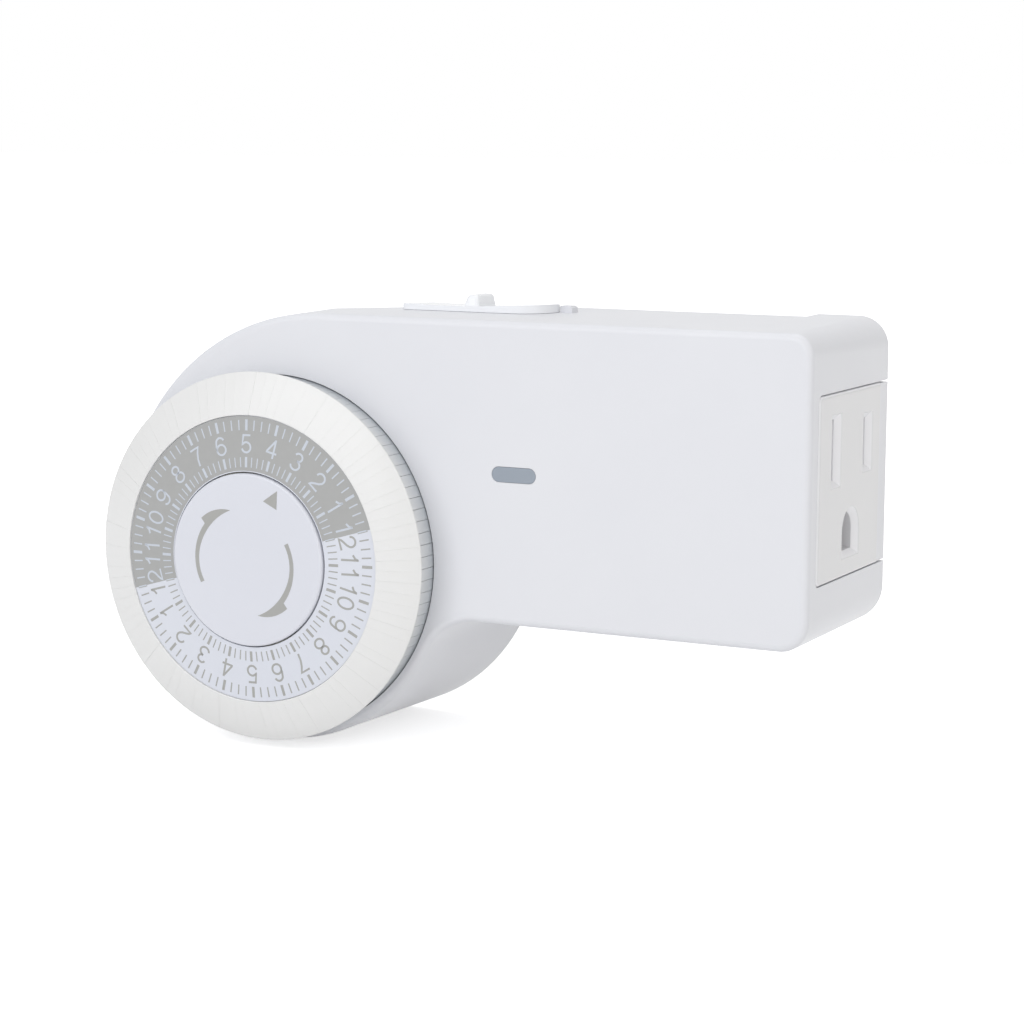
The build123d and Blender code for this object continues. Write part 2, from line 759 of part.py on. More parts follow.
def mode_switch_body():
    top = top_z - side_wall - 0.1
    x0 = mode_body_x0
    x1 = mode_body_x1
    body = block(x0, x1, mode_body_y0, mode_body_y1, mode_body_bottom, top)
    body -= block(x0 + mode_wall, x1 - mode_wall, mode_body_y0 + mode_wall, mode_body_y1 - mode_wall,
                  mode_body_bottom + 2 * mode_wall, top + 1)
    half = terminal_thick / 2 + terminal_slot_gap
    side = terminal_side - terminal_slot_gap
    for x in terminal_places():
        body -= block(x - half, x + half, mode_body_y0 + side, mode_body_y1 - side,
                      mode_body_bottom - 1, mode_body_bottom + 2 * mode_wall + 1)
    return body


def terminal_places():
    return (mode_body_x0 + mode_end_inset, (mode_body_x0 + mode_body_x1) / 2, mode_body_x1 - mode_end_inset)


def mode_terminals():
    """Three terminals that stand in the switch body's floor."""
    half = terminal_thick / 2
    top = mode_body_bottom + 2 * mode_wall + terminal_proud
    return [block(x - half, x + half, mode_body_y0 + terminal_side, mode_body_y1 - terminal_side,
                  mode_body_bottom - terminal_drop, top) for x in terminal_places()]


def mode_contact():
    """Contact bridge under the stem, carried by it along the terminals."""
    stem_y = knob_centre_y()
    low = mode_body_bottom + 2 * mode_wall + terminal_proud + bridge_gap
    high = low + bridge_thick
    x = knob_centre_x()
    half = bridge_length / 2
    side = bridge_width / 2
    bridge = block(x - half, x + half, stem_y - side, stem_y + side, low, high)
    post = bridge_stem / 2
    return bridge + block(x - post, x + post, stem_y - side, stem_y + side, high, stem_bottom_z)


def snap_switch_body():
    body = block(snap_x0, snap_x1, snap_front, snap_back, snap_z0, snap_z1)
    inner_front = snap_front + snap_front_wall
    body -= block(snap_x0 + snap_wall, snap_x1 - snap_wall, inner_front, snap_back - snap_wall,
                  snap_z0 + snap_wall, snap_z1 - snap_wall)
    for z in (snap_z0, snap_z1 - ear_thick):
        body += block(lever_pin_x - ear_half, lever_pin_x + ear_half, ear_front, snap_front + 0.5,
                      z, z + ear_thick)
    z_mid = (snap_z0 + snap_z1) / 2
    body -= Pos(lever_pin_x, lever_pin_y, z_mid) * Cylinder(lever_pin_r, 20)
    return body - rod(plunger_x, z_mid, plunger_r + run, snap_front - 1, snap_front + snap_front_wall + 1)


def snap_plunger():
    z_mid = (snap_z0 + snap_z1) / 2
    front = lever_pin_y + lever_thick / 2 + plunger_gap
    return rod(plunger_x, z_mid, plunger_r, front, plunger_end)


def snap_leaf():
    """Sprung contact leaf under the plunger, with its anchor at the right-hand end."""
    z_mid = (snap_z0 + snap_z1) / 2
    travel = (lever_pin_x - plunger_x) * tan(radians(lever_swing))
    front = plunger_end + travel + plunger_gap
    back = front + leaf_thick
    right = snap_x1 - snap_wall
    half = leaf_width / 2
    leaf = block(snap_x0 + 1.5 * snap_wall, right, front, back, z_mid - half, z_mid + half)
    anchor = block(right - leaf_anchor, right, back, snap_back - snap_wall, z_mid - half, z_mid + half)
    return leaf + anchor


def trip_lever():
    """Rocking lever: trippers that are pushed in lift its cam, and it works the plunger."""
    z0 = snap_z0 + ear_thick + lever_side_gap
    z1 = snap_z1 - ear_thick - lever_side_gap
    z_mid = (snap_z0 + snap_z1) / 2
    y0 = lever_pin_y - lever_thick / 2
    y1 = lever_pin_y + lever_thick / 2
    leg_mid = (leg_inner_r + leg_outer_r) / 2
    cam_x = sqrt(leg_mid ** 2 - z_mid ** 2)
    tip_x = cam_x - cam_length / 2 - lever_tip_spare
    lever = block(tip_x, lever_pin_x + lever_tail, y0, y1, z0, z1)
    lever += Pos(lever_pin_x, lever_pin_y, z_mid) * Cylinder(lever_boss_r, z1 - z0)
    cam_front = leg_back + tripper_travel + cam_gap
    lever += block(cam_x - cam_length / 2, cam_x + cam_length / 2, cam_front, y0 + 0.2,
                   z_mid - cam_width / 2, z_mid + cam_width / 2)
    return lever - Pos(lever_pin_x, lever_pin_y, z_mid) * Cylinder(lever_pin_r + run, 20)


# ---- plug ----
def blade(x, height, side):
    """Flat blade with a foot turned to one side on the cover's inner face."""
    tip = case_depth + blade_out
    half = blade_thick / 2
    body = block(x - half, x + half, bus_y1, tip, blade_line_z - height / 2, blade_line_z + height / 2)
    corners = [e for e in body.edges().filter_by(Axis.X) if e.center().Y > tip - 0.01]
    body = chamfer(corners, blade_tip)
    far = x + side * (half + foot_length)
    body += block(min(x, far), max(x, far), bus_y1, cover_front,
                  blade_line_z - height / 2, blade_line_z + height / 2)
    hole_y = tip - blade_hole_back
    return body - Pos(x, hole_y, blade_line_z) * Rot(0, 90, 0) * Cylinder(blade_hole_r, 3 * blade_thick)


def ground_pin():
    straight = case_depth + pin_out - pin_r
    pin = rod(plug_x, ground_z, pin_r, case_depth, straight)
    pin += Pos(plug_x, straight, ground_z) * Sphere(pin_r)
    pin += rod(plug_x, ground_z, pin_neck_r, bus_y1, case_depth)
    return pin + rod(plug_x, ground_z, pin_flange_r, bus_y1, cover_front)


# ---- conductors ----
def bar_start():
    """Left-hand end of the neutral bar, at the end of the neutral blade's foot."""
    return neutral_blade_x - blade_thick / 2 - foot_length


def supply_bar():
    """From the hot blade's foot to the snap switch."""
    foot_x = hot_blade_x + blade_thick / 2 + foot_length
    y0 = supply_y0
    y1 = y0 + bar_thick
    start_x = snap_x1 - bar_overlap
    bar = block(start_x, foot_x, y0, y1, supply_z0, supply_z1)
    bar += block(foot_x - bar_foot, foot_x, y0, bus_y1, supply_z0, blade_line_z + 1)
    tab_z = snap_z0 + snap_wall / 2
    return bar + block(start_x, start_x + bar_thick, snap_back, y1, tab_z, supply_z1)


def load_bar():
    """From the switches to the outlet's hot contact."""
    bar = block(snap_x1 + bar_thick, bar_web_x, load_y0, load_y0 + bar_thick, load_z0, load_z1)
    bar += block(snap_x1, snap_x1 + bar_thick, snap_back - bar_foot, load_y0 + bar_thick, load_z0, load_z1)
    return bar


def neutral_bar():
    """From the neutral blade's foot over the other conductors to the outlet's neutral contact."""
    foot_right = neutral_blade_x + blade_thick / 2
    foot_left = bar_start()
    bar = block(foot_left, foot_right, bus_y0, bus_y1, blade_line_z, neutral_top_z1)
    bar += block(foot_left, bar_web_x, bus_y0, bus_y1, neutral_top_z0, neutral_top_z1)
    y0 = outlet_neutral_y - contact_tab / 2
    y1 = outlet_neutral_y + contact_tab / 2
    low = blade_line_z - neutral_blade_height / 2
    bar += block(bar_end_x0, bar_web_x, y0, bus_y1, neutral_top_z0, neutral_top_z1)
    return bar + block(bar_end_x0, bar_web_x, y0, y1, low, neutral_top_z1)


def ground_bar():
    z0 = ground_z - ground_bar_height / 2
    z1 = ground_z + ground_bar_height / 2
    bar = block(plug_x - ground_bar_start, bar_web_x, bus_y0, bus_y1, z0, z1)
    y0 = outlet_ground_y - pin_r
    return bar + block(bar_end_x0, bar_web_x, y0, bus_y1, z0, z1)


def outlet_contact(y, z, gap, height):
    """Two leaves that grip a blade, joined by a web."""
    z0 = z - height / 2
    z1 = z + height / 2
    web = block(bar_web_x, chamber_x0, y - gap / 2 - contact_leaf, y + gap / 2 + contact_leaf, z0, z1)
    for side in (-1, 1):
        near = y + side * gap / 2
        far = near + side * contact_leaf
        web += block(bar_web_x, chamber_x0 + contact_length, min(near, far), max(near, far), z0, z1)
    return web


def motor_leads():
    """Two insulated leads from the motor's rim to the supply and neutral bars."""
    y = supply_y0 + bar_thick / 2
    reach = sqrt(motor_r ** 2 - (lead_spread - motor_lead_r) ** 2)
    start_x = motor_x + reach
    upper = motor_z + lead_spread
    lower = motor_z - lead_spread
    supply_x = snap_x1 + motor_lead_r
    neutral_x = bar_start() + motor_lead_r + 0.2
    neutral_y = (bus_y0 + bus_y1) / 2
    routes = [
        ([(start_x, y, upper), (supply_x, y, upper), (supply_x, y, supply_z0)], 3.0),
        ([(start_x, y, lower), (neutral_x - 6, y, lower), (neutral_x, neutral_y, lower),
          (neutral_x, neutral_y, blade_line_z)], 2.5),
    ]
    leads = []
    for points, bend_r in routes:
        path = FilletPolyline(points, radius=bend_r)
        ring = Plane(origin=path @ 0, z_dir=path % 0) * Circle(motor_lead_r)
        leads.append(sweep(ring, path))
    return leads


# ---- lamp ----
def indicator_lens():
    lens = Pos(lens_x, lens_z) * SlotOverall(lens_length, lens_height)
    flange = Pos(lens_x, lens_z) * SlotOverall(lens_length + 1.6, lens_height + 1.6)
    return slab(lens, 0, front_wall) + slab(flange, front_wall, lens_depth)


def neon_lamp():
    lamp = Pos(lens_x, lens_depth + lamp_r + lamp_gap, lens_z) * Rot(0, 90, 0) * Cylinder(lamp_r, lamp_length)
    return fillet(lamp.edges(), 0.9)


def lamp_resistor():
    """Resistor behind the front wall, with the leads that join it to the lamp."""
    x = lens_x + lamp_length / 2 + resistor_gap + resistor_length / 2
    y = front_wall + resistor_r
    body = Pos(x, y, lens_z) * Rot(0, 90, 0) * Cylinder(resistor_r, resistor_length)
    body = fillet(body.edges(), 0.4)
    lead_y = lens_depth + lamp_r + lamp_gap
    end = x + resistor_length / 2 + lead_tail
    body += Pos((lens_x + lamp_length / 2 + x) / 2, y, lens_z) * Rot(0, 90, 0) \
        * Cylinder(lead_r, x - lens_x - lamp_length / 2 - 0.1)
    body += Pos((x + end) / 2, y, lens_z) * Rot(0, 90, 0) * Cylinder(lead_r, end - x)
    return body + rod(end, lens_z, lead_r, y - lead_r, max(lead_y, load_y0))


# ---- outlet ----
def outlet_face():
    """Face plate with the slots, and the contact chambers behind it."""
    x0 = outlet_x - outlet_thick
    plate = block(x0, outlet_x, outlet_y0, outlet_y1, outlet_z0, outlet_z1)
    front_corners = [e for e in plate.edges().filter_by(Axis.X) if e.center().Y < outlet_y0 + 0.1]
    plate = fillet(front_corners, outlet_corner_r)
    plate = fillet(plate.faces().sort_by(Axis.X)[-1].edges(), outlet_edge_r)
    chamber = block(chamber_x0, x0, chamber_y0, chamber_y1, chamber_z0, chamber_z1)
    inner_y0 = chamber_y0 + chamber_wall
    inner_y1 = chamber_y1 - chamber_wall
    chamber -= block(chamber_x0 - 1, x0 + 1, inner_y0, inner_y1,
                     chamber_z0 + chamber_wall, chamber_z1 - chamber_wall)
    floor_z = blade_line_z - shutter_height() / 2 - 1.6
    chamber += block(chamber_x0, divider_x1, inner_y0, inner_y1, floor_z - 1, floor_z)
    mid = outlet_ground_y
    chamber += block(chamber_x0, divider_x1, mid - 0.5, mid + 0.5, floor_z, chamber_z1 - chamber_wall)
    insert = plate + chamber
    insert -= blade_opening(outlet_neutral_y, slot_width, neutral_slot_height, slot_bevel)
    insert -= blade_opening(outlet_hot_y, slot_width, hot_slot_height, slot_bevel)
    return insert - ground_opening()


def ground_outline(margin):
    """Ground hole's outline: flat at the bottom, arched at the top."""
    half = ground_width / 2 + margin
    bottom = -ground_height / 2 - margin
    spring_line = ground_height / 2 - ground_width / 2
    return make_face([
        Line((-half, bottom), (half, bottom)), Line((half, bottom), (half, spring_line)),
        ThreePointArc((half, spring_line), (0, spring_line + half), (-half, spring_line)),
        Line((-half, spring_line), (-half, bottom)),
    ])


def ground_opening():
    face = Plane(origin=(outlet_x, outlet_ground_y, ground_z), x_dir=(0, 1, 0), z_dir=(1, 0, 0))
    deep = extrude(face * ground_outline(0), -outlet_thick - 1)
    mouth = loft([face * ground_outline(slot_bevel), face.offset(-slot_bevel) * ground_outline(0)],
                 ruled=True)
    return deep + mouth


def shutter_height():
    return neutral_slot_height + 2 * shutter_overlap


def shutter_x1():
    return outlet_x - outlet_thick - shutter_front_gap


def outlet_shutter():
    """Sliding shutter: its window comes under the neutral slot as its edge clears the hot one."""
    x1 = shutter_x1()
    x0 = x1 - shutter_thick
    half = shutter_height() / 2
    plate = block(x0, x1, shutter_y0, shutter_y1, blade_line_z - half, blade_line_z + half)
    window = outlet_neutral_y + shutter_travel
    plate -= block(x0 - 1, x1 + 1, window - slot_width / 2 - 0.1, window + slot_width / 2 + 0.1,
                   blade_line_z - half + 0.4, blade_line_z + half - 0.4)
    lug_y = shutter_y1 - 1.2
    return plate + block(x0, x1, lug_y, shutter_y1, spring_z() - spring_r, blade_line_z - half + 0.2)


def spring_z():
    return blade_line_z - shutter_height() / 2 - spring_r - 0.3


def shutter_spring():
    """Compression spring along the shutter's lower edge, as a stack of wire rings."""
    x = shutter_x1() - shutter_thick / 2
    start = chamber_y0 + chamber_wall
    end = shutter_y1 - 1.2
    wire_r = (spring_r - spring_bore_r) / 2
    middle_r = (spring_r + spring_bore_r) / 2
    coil = Helix(pitch=1.2, height=end - start - 2 * wire_r, radius=middle_r)
    ring = Plane(origin=coil @ 0, z_dir=coil % 0) * Circle(wire_r)
    return Pos(x, start + wire_r, spring_z()) * Rot(-90, 0, 0) * sweep(ring, coil, is_frenet=True)


# ---- write every piece ----
os.makedirs("parts", exist_ok=True)
save("front_shell", front_shell())
save("back_cover", back_cover())
save("case_screws", *case_screws())
save("centre_cap", centre_cap())
save("dial_face", dial_face())
save("dial_wheel", dial_wheel())
save("trip_guide", trip_guide())
for number in range(group_count):
    save(f"trippers_{number + 1:02d}", *tripper_group(number))
save("dial_post", dial_post())
save("second_wheel", second_wheel())
save("first_wheel", first_wheel())
save("pivot_pins", *pivot_pins())
save("movement_plate", movement_plate())
save("motor_can", motor_can())
save("motor_coil", motor_coil())
save("motor_rotor", motor_rotor())
save("motor_leads", *motor_leads())
save("mode_knob", mode_knob())
save("mode_switch_body", mode_switch_body())
save("mode_terminals", *mode_terminals())
save("mode_contact", mode_contact())
save("snap_switch_body", snap_switch_body())
save("snap_plunger", snap_plunger())
save("snap_leaf", snap_leaf())
save("trip_lever", trip_lever())
save("lever_pin", lever_pin())
save("hot_blade", blade(hot_blade_x, hot_blade_height, 1))
save("neutral_blade", blade(neutral_blade_x, neutral_blade_height, -1))
save("ground_pin", ground_pin())
save("supply_bar", supply_bar())
save("load_bar", load_bar())
save("neutral_bar", neutral_bar())
save("ground_bar", ground_bar())
blade_gap = blade_thick + 2 * contact_spare
save("hot_contact", outlet_contact(outlet_hot_y, blade_line_z, blade_gap, hot_blade_height))
save("neutral_contact", outlet_contact(outlet_neutral_y, blade_line_z, blade_gap, neutral_blade_height))
save("ground_contact", outlet_contact(outlet_ground_y, ground_z, 2 * (pin_r + pin_spare), 2 * pin_r))
save("indicator_lens", indicator_lens())
save("neon_lamp", neon_lamp())
save("lamp_resistor", lamp_resistor())
save("outlet_face", outlet_face())
save("outlet_shutter", outlet_shutter())
save("shutter_spring", shutter_spring())
print("gear centres", [round(v, 3) for v in (second_x, second_z, first_x, first_z, motor_x, motor_z)])
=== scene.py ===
import math

import bmesh
import bpy
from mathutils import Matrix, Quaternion, Vector


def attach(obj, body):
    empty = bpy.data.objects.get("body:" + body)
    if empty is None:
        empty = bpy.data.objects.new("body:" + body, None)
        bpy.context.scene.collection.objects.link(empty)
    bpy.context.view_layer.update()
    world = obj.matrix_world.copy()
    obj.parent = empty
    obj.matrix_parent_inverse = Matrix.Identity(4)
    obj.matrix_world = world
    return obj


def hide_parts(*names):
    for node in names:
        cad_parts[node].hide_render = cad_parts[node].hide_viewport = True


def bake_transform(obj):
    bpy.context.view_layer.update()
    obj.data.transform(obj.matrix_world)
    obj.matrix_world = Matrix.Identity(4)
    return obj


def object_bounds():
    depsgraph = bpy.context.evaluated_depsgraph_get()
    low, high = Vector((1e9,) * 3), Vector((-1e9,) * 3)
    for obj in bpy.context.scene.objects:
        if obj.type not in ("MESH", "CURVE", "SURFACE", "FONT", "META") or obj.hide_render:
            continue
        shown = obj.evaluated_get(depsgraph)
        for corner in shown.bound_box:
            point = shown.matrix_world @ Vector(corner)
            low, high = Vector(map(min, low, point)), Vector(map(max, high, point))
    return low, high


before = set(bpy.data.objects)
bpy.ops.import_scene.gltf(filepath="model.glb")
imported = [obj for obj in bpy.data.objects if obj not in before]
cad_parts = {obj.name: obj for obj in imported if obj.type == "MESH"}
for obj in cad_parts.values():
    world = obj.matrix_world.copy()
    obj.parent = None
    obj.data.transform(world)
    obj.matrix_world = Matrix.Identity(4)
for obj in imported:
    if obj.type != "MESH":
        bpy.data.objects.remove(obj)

cad_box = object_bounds()


# ---- Camera ----
# A long lens in front of the timer, to the right of it and a little above, at the height where
# it is looked at on a counter.
MM = 0.001

# The part's origin is where the ground pin leaves the case's back. These are its place in mm from
# the dial's centre on the case's front.
GROUND_PIN_X, CASE_DEPTH, GROUND_PIN_Z = 52.0, 30.8, 7.26


def at(x, y, z):
    """A place in mm from the dial's centre on the case's front, as a point of the part."""
    return Vector((x - GROUND_PIN_X, y - CASE_DEPTH, z - GROUND_PIN_Z)) * MM


CAMERA_DISTANCE, CAMERA_LENS, SENSOR_WIDTH = 378.37, 94.07, 36.0
TO_THE_RIGHT, ABOVE, CAMERA_LEAN = math.radians(26.9), math.radians(8.25), math.radians(0.32)
aim = at(39.13, 0.0, 8.83)
eye = aim + CAMERA_DISTANCE * MM * Vector((math.sin(TO_THE_RIGHT) * math.cos(ABOVE),
                                           -math.cos(TO_THE_RIGHT) * math.cos(ABOVE),
                                           math.sin(ABOVE)))
camera = bpy.data.objects.new("camera", bpy.data.cameras.new("camera"))
camera.data.lens = CAMERA_LENS
camera.data.sensor_width = SENSOR_WIDTH
camera.location = eye
level = (aim - eye).to_track_quat("-Z", "Y")
camera.rotation_euler = (level @ Quaternion((0, 0, 1), CAMERA_LEAN)).to_euler()
bpy.context.collection.objects.link(camera)
bpy.context.scene.camera = camera
bpy.context.scene.view_settings.view_transform = "Standard"


# ---- Studio ----
# White paper under the timer and a white room round it, lit by large soft boxes. The paper and
# the room are white to the lens and in reflections, and the paper keeps the timer's soft shadow.
def srgb(text):
    """An sRGB hex colour as the linear colour that a shader takes."""
    levels = [int(text[k:k + 2], 16) / 255 for k in (0, 2, 4)]
    return [v / 12.92 if v <= 0.04045 else ((v + 0.055) / 1.055) ** 2.4 for v in levels] + [1.0]


def add(tree, kind, inputs, **settings):
    """Adds a node, makes its settings, and fills in or joins up its sockets."""
    made = tree.nodes.new(kind)
    for name, value in settings.items():
        setattr(made, name, value)
    for socket, value in inputs.items():
        if isinstance(value, bpy.types.NodeSocket):
            tree.links.new(value, made.inputs[socket])
        else:
            made.inputs[socket].default_value = value
    return made


def emptied(owner):
    """The node tree of a new material or world, with nothing in it."""
    owner.use_nodes = True
    owner.node_tree.nodes.clear()
    return owner.node_tree


def seen_by_lens(tree):
    """1 for rays that look at a thing, also in gloss or through glass, and 0 for rays of light."""
    path = add(tree, "ShaderNodeLightPath", {})
    either = add(tree, "ShaderNodeMath",
                 {0: path.outputs["Is Camera Ray"], 1: path.outputs["Is Glossy Ray"]},
                 operation="MAXIMUM")
    return add(tree, "ShaderNodeMath",
               {0: either.outputs[0], 1: path.outputs["Is Transmission Ray"]},
               operation="MAXIMUM").outputs[0]


# The room: plain white where it is seen, and a weaker even light on the timer.
ROOM_LIGHT = 0.43
room = bpy.data.worlds.new("white_room")
room_tree = emptied(room)
room_light = add(room_tree, "ShaderNodeBackground",
                 {"Color": srgb("ffffff"), "Strength": ROOM_LIGHT})
room_seen = add(room_tree, "ShaderNodeBackground", {"Color": srgb("ffffff"), "Strength": 1.0})
room_mix = add(room_tree, "ShaderNodeMixShader",
               {0: seen_by_lens(room_tree), 1: room_light.outputs[0], 2: room_seen.outputs[0]})
add(room_tree, "ShaderNodeOutputWorld", {"Surface": room_mix.outputs[0]})
bpy.context.scene.world = room

# Matt white paper. It also glows to the lens, more so away from the timer, where less lamp light
# falls on it, so that it is white all over but for the shadow. Its sizes are in metres.
PAPER_HALF = 6
GLOW_NEAR, NEAR, FAR = 0.62, 0.15, 0.9
paper = bpy.data.materials.new("white_paper_matt")
paper_tree = emptied(paper)
paper_lit = add(paper_tree, "ShaderNodeBsdfDiffuse", {"Color": srgb("f4f4f4")})
from_timer = add(paper_tree, "ShaderNodeVectorMath",
                 {0: add(paper_tree, "ShaderNodeTexCoord", {}).outputs["Object"]},
                 operation="LENGTH")
brighter_away = add(paper_tree, "ShaderNodeMapRange",
                    {"Value": from_timer.outputs["Value"], "From Min": NEAR, "From Max": FAR,
                     "To Min": GLOW_NEAR, "To Max": 1.0})
paper_strength = add(paper_tree, "ShaderNodeMath",
                     {0: seen_by_lens(paper_tree), 1: brighter_away.outputs[0]},
                     operation="MULTIPLY")
paper_seen = add(paper_tree, "ShaderNodeEmission",
                 {"Color": srgb("ffffff"), "Strength": paper_strength.outputs[0]})
paper_both = add(paper_tree, "ShaderNodeAddShader",
                 {0: paper_lit.outputs[0], 1: paper_seen.outputs[0]})
add(paper_tree, "ShaderNodeOutputMaterial", {"Surface": paper_both.outputs[0]})

floor_mesh = bpy.data.meshes.new("floor")
floor_mesh.from_pydata([(x * PAPER_HALF, y * PAPER_HALF, cad_box[0].z)
                        for x, y in ((-1, -1), (1, -1), (1, 1), (-1, 1))], [], [(0, 1, 2, 3)])
floor_mesh.materials.append(paper)
floor = bpy.data.objects.new("floor", floor_mesh)
bpy.context.collection.objects.link(floor)

# Three soft boxes, each with its direction, its side in metres, its watts and its colour.
LAMP_DISTANCE = 1.0
for name, direction, side, watts, colour in (
        ("front_box", (-0.22, -0.85, 0.48), 0.9, 4.33, "fbfcff"),
        ("right_box", (0.85, -0.45, 0.30), 0.7, 1.9, "fffcf6"),
        ("top_box", (0.0, 0.1, 1.0), 0.8, 2.8, "ffffff")):
    box = bpy.data.lights.new(name, "AREA")
    box.color = srgb(colour)[:3]
    box.size = side
    box.energy = watts
    holder = bpy.data.objects.new(name, box)
    holder.location = Vector(direction).normalized() * LAMP_DISTANCE
    holder.rotation_euler = (-Vector(direction)).to_track_quat("-Z", "Y").to_euler()
    bpy.context.collection.objects.link(holder)


# ---- Case ----
# Front shell and back cover, white ABS, each moulded in one piece. The cover drops into the
# shell's rear opening, and its tab closes the rear edge of the outlet.

# A plastic's tint drifts over this many mm, and its roughness falls and rises with it by these
# shares. The IOR is that of ABS, which is near enough for the other plastics.
FLOW_LENGTH = 18
FLOW_SMOOTHER, FLOW_ROUGHER = 0.04, 0.05
PLASTIC_IOR = 1.53
# The sockets of a colour mix: its share, its two colours and its result.
SHARE, PLAIN, OTHER, MIXED = 0, 6, 7, 2


def moulded(name, colour, tint, roughness, grain, depth):
    """A moulded plastic. It drifts a little between two tints over a few centimetres, as plastic
    does where it flowed, its gloss varies, and the mould's grain breaks up its highlights. The
    grain's width and depth are in mm."""
    made = bpy.data.materials.new(name)
    tree = emptied(made)
    where = add(tree, "ShaderNodeTexCoord", {}).outputs["Object"]
    flow = add(tree, "ShaderNodeTexNoise",
               {"Vector": where, "Scale": 1 / (FLOW_LENGTH * MM), "Detail": 3.0})
    colours = add(tree, "ShaderNodeMix",
                  {SHARE: flow.outputs["Fac"], PLAIN: srgb(colour), OTHER: srgb(tint)},
                  data_type="RGBA")
    gloss = add(tree, "ShaderNodeMapRange",
                {"Value": flow.outputs["Fac"], "To Min": roughness - FLOW_SMOOTHER,
                 "To Max": roughness + FLOW_ROUGHER})
    eroded = add(tree, "ShaderNodeTexNoise",
                 {"Vector": where, "Scale": 1 / (grain * MM), "Detail": 2.0})
    bump = add(tree, "ShaderNodeBump",
               {"Height": eroded.outputs["Fac"], "Distance": depth * MM, "Strength": 1.0})
    shader = add(tree, "ShaderNodeBsdfPrincipled",
                 {"Base Color": colours.outputs[MIXED], "Roughness": gloss.outputs[0],
                  "Normal": bump.outputs[0], "IOR": PLASTIC_IOR})
    add(tree, "ShaderNodeOutputMaterial", {"Surface": shader.outputs[0]})
    return made


def finish_nodes(material, *names):
    """Gives a finish to pieces that keep the shape of their solids."""
    for name in names:
        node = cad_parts[name]
        if not node.material_slots:
            node.data.materials.append(material)
        for held in node.material_slots:
            held.material = material


# Satin white ABS from a spark-eroded mould: even and slightly cool, with soft, broad highlights.
# The grain is about 0.1 mm and is drawn at 0.3 mm so that it shows.
abs_case = moulded("abs_white_satin", "e3e4e8", "dfe0e5", 0.36, 0.3, 0.004)
finish_nodes(abs_case, "front_shell", "back_cover")


# ---- Plug ----
# Two flat blades and a round ground pin, stamped and turned from brass and nickel plated. Their
# feet are held between the back cover and the conductors.

# A metal's tarnish changes over this many mm, its streaks are this deep in mm, and their roughness
# falls and rises by these shares.
TARNISH_LENGTH = 5
STREAK_DEPTH = 0.003
STREAK_SMOOTHER, STREAK_ROUGHER = 0.08, 0.10


def metal(name, colour, tint, roughness, streak, along):
    """A bare or plated metal. Its polish is drawn out in streaks, along the way it was rolled or
    drawn. Streak is their width in mm, and along is how many times longer they are on each axis."""
    made = bpy.data.materials.new(name)
    tree = emptied(made)
    where = add(tree, "ShaderNodeTexCoord", {}).outputs["Object"]
    drawn = add(tree, "ShaderNodeMapping", {"Vector": where, "Scale": [1 / a for a in along]})
    lines = add(tree, "ShaderNodeTexNoise",
                {"Vector": drawn.outputs[0], "Scale": 1 / (streak * MM), "Detail": 3.0})
    tarnish = add(tree, "ShaderNodeTexNoise",
                  {"Vector": where, "Scale": 1 / (TARNISH_LENGTH * MM), "Detail": 2.0})
    colours = add(tree, "ShaderNodeMix",
                  {SHARE: tarnish.outputs["Fac"], PLAIN: srgb(colour), OTHER: srgb(tint)},
                  data_type="RGBA")
    polish = add(tree, "ShaderNodeMapRange",
                 {"Value": lines.outputs["Fac"], "To Min": roughness - STREAK_SMOOTHER,
                  "To Max": roughness + STREAK_ROUGHER})
    bump = add(tree, "ShaderNodeBump",
               {"Height": lines.outputs["Fac"], "Distance": STREAK_DEPTH * MM, "Strength": 1.0})
    shader = add(tree, "ShaderNodeBsdfPrincipled",
                 {"Base Color": colours.outputs[MIXED], "Metallic": 1.0,
                  "Roughness": polish.outputs[0], "Normal": bump.outputs[0]})
    add(tree, "ShaderNodeOutputMaterial", {"Surface": shader.outputs[0]})
    return made


# Nickel plate over stamped brass: a warm grey mirror, blurred by the rolling lines under it.
nickel_plate = metal("nickel_plated_brass", "c9c5bb", "bdb8ad", 0.26, 0.25, (1, 12, 1))
finish_nodes(nickel_plate, "hot_blade", "neutral_blade", "ground_pin")


# ---- Conductors ----
# Strips that join the plug, the switches and the outlet's contacts, punched and folded from brass
# sheet, and the contacts' leaves, folded from the same sheet.

# Rolled brass, left bare: yellow, with long fine lines and a little brown where it was handled.
rolled_brass = metal("rolled_brass", "cfa75c", "b98d48", 0.30, 0.3, (10, 1, 1))
finish_nodes(rolled_brass, "supply_bar", "load_bar", "neutral_bar", "ground_bar", "hot_contact",
             "neutral_contact", "ground_contact", "mode_terminals", "mode_contact", "snap_leaf")

# PVC insulation on the motor's leads: soft, grey-white and a little glossy.
finish_nodes(moulded("pvc_insulation", "dcdcd6", "cfcfc8", 0.42, 0.5, 0.01), "motor_leads")


# ---- Motor and movement plate ----
# A small synchronous motor: coil and ferrite rotor in a drawn steel can, on a punched steel plate
# that also holds the two wheels' pins. Can and plate are zinc plated.

# Bright zinc plate on steel: light grey, a little blue, with a fine even blur.
zinc_plate = metal("zinc_plated_steel", "b9bcc0", "a9adb3", 0.34, 0.4, (1, 1, 1))
finish_nodes(zinc_plate, "motor_can", "movement_plate")

# Hardened steel wire: darker and smoother than the plate, with drawing lines along the pins.
steel_wire = metal("drawn_steel", "9a9ca0", "85888d", 0.28, 0.2, (1, 8, 1))
finish_nodes(steel_wire, "pivot_pins", "lever_pin")

# Polyester tape over the winding: amber, smooth, and slightly wrinkled by the wire under it.
finish_nodes(moulded("winding_tape", "d2a336", "b98824", 0.34, 0.8, 0.05), "motor_coil")

# Sintered ferrite, black grey and dull, with a fine pressed grain.
finish_nodes(moulded("sintered_ferrite", "34343a", "26262b", 0.55, 0.25, 0.02), "motor_rotor")


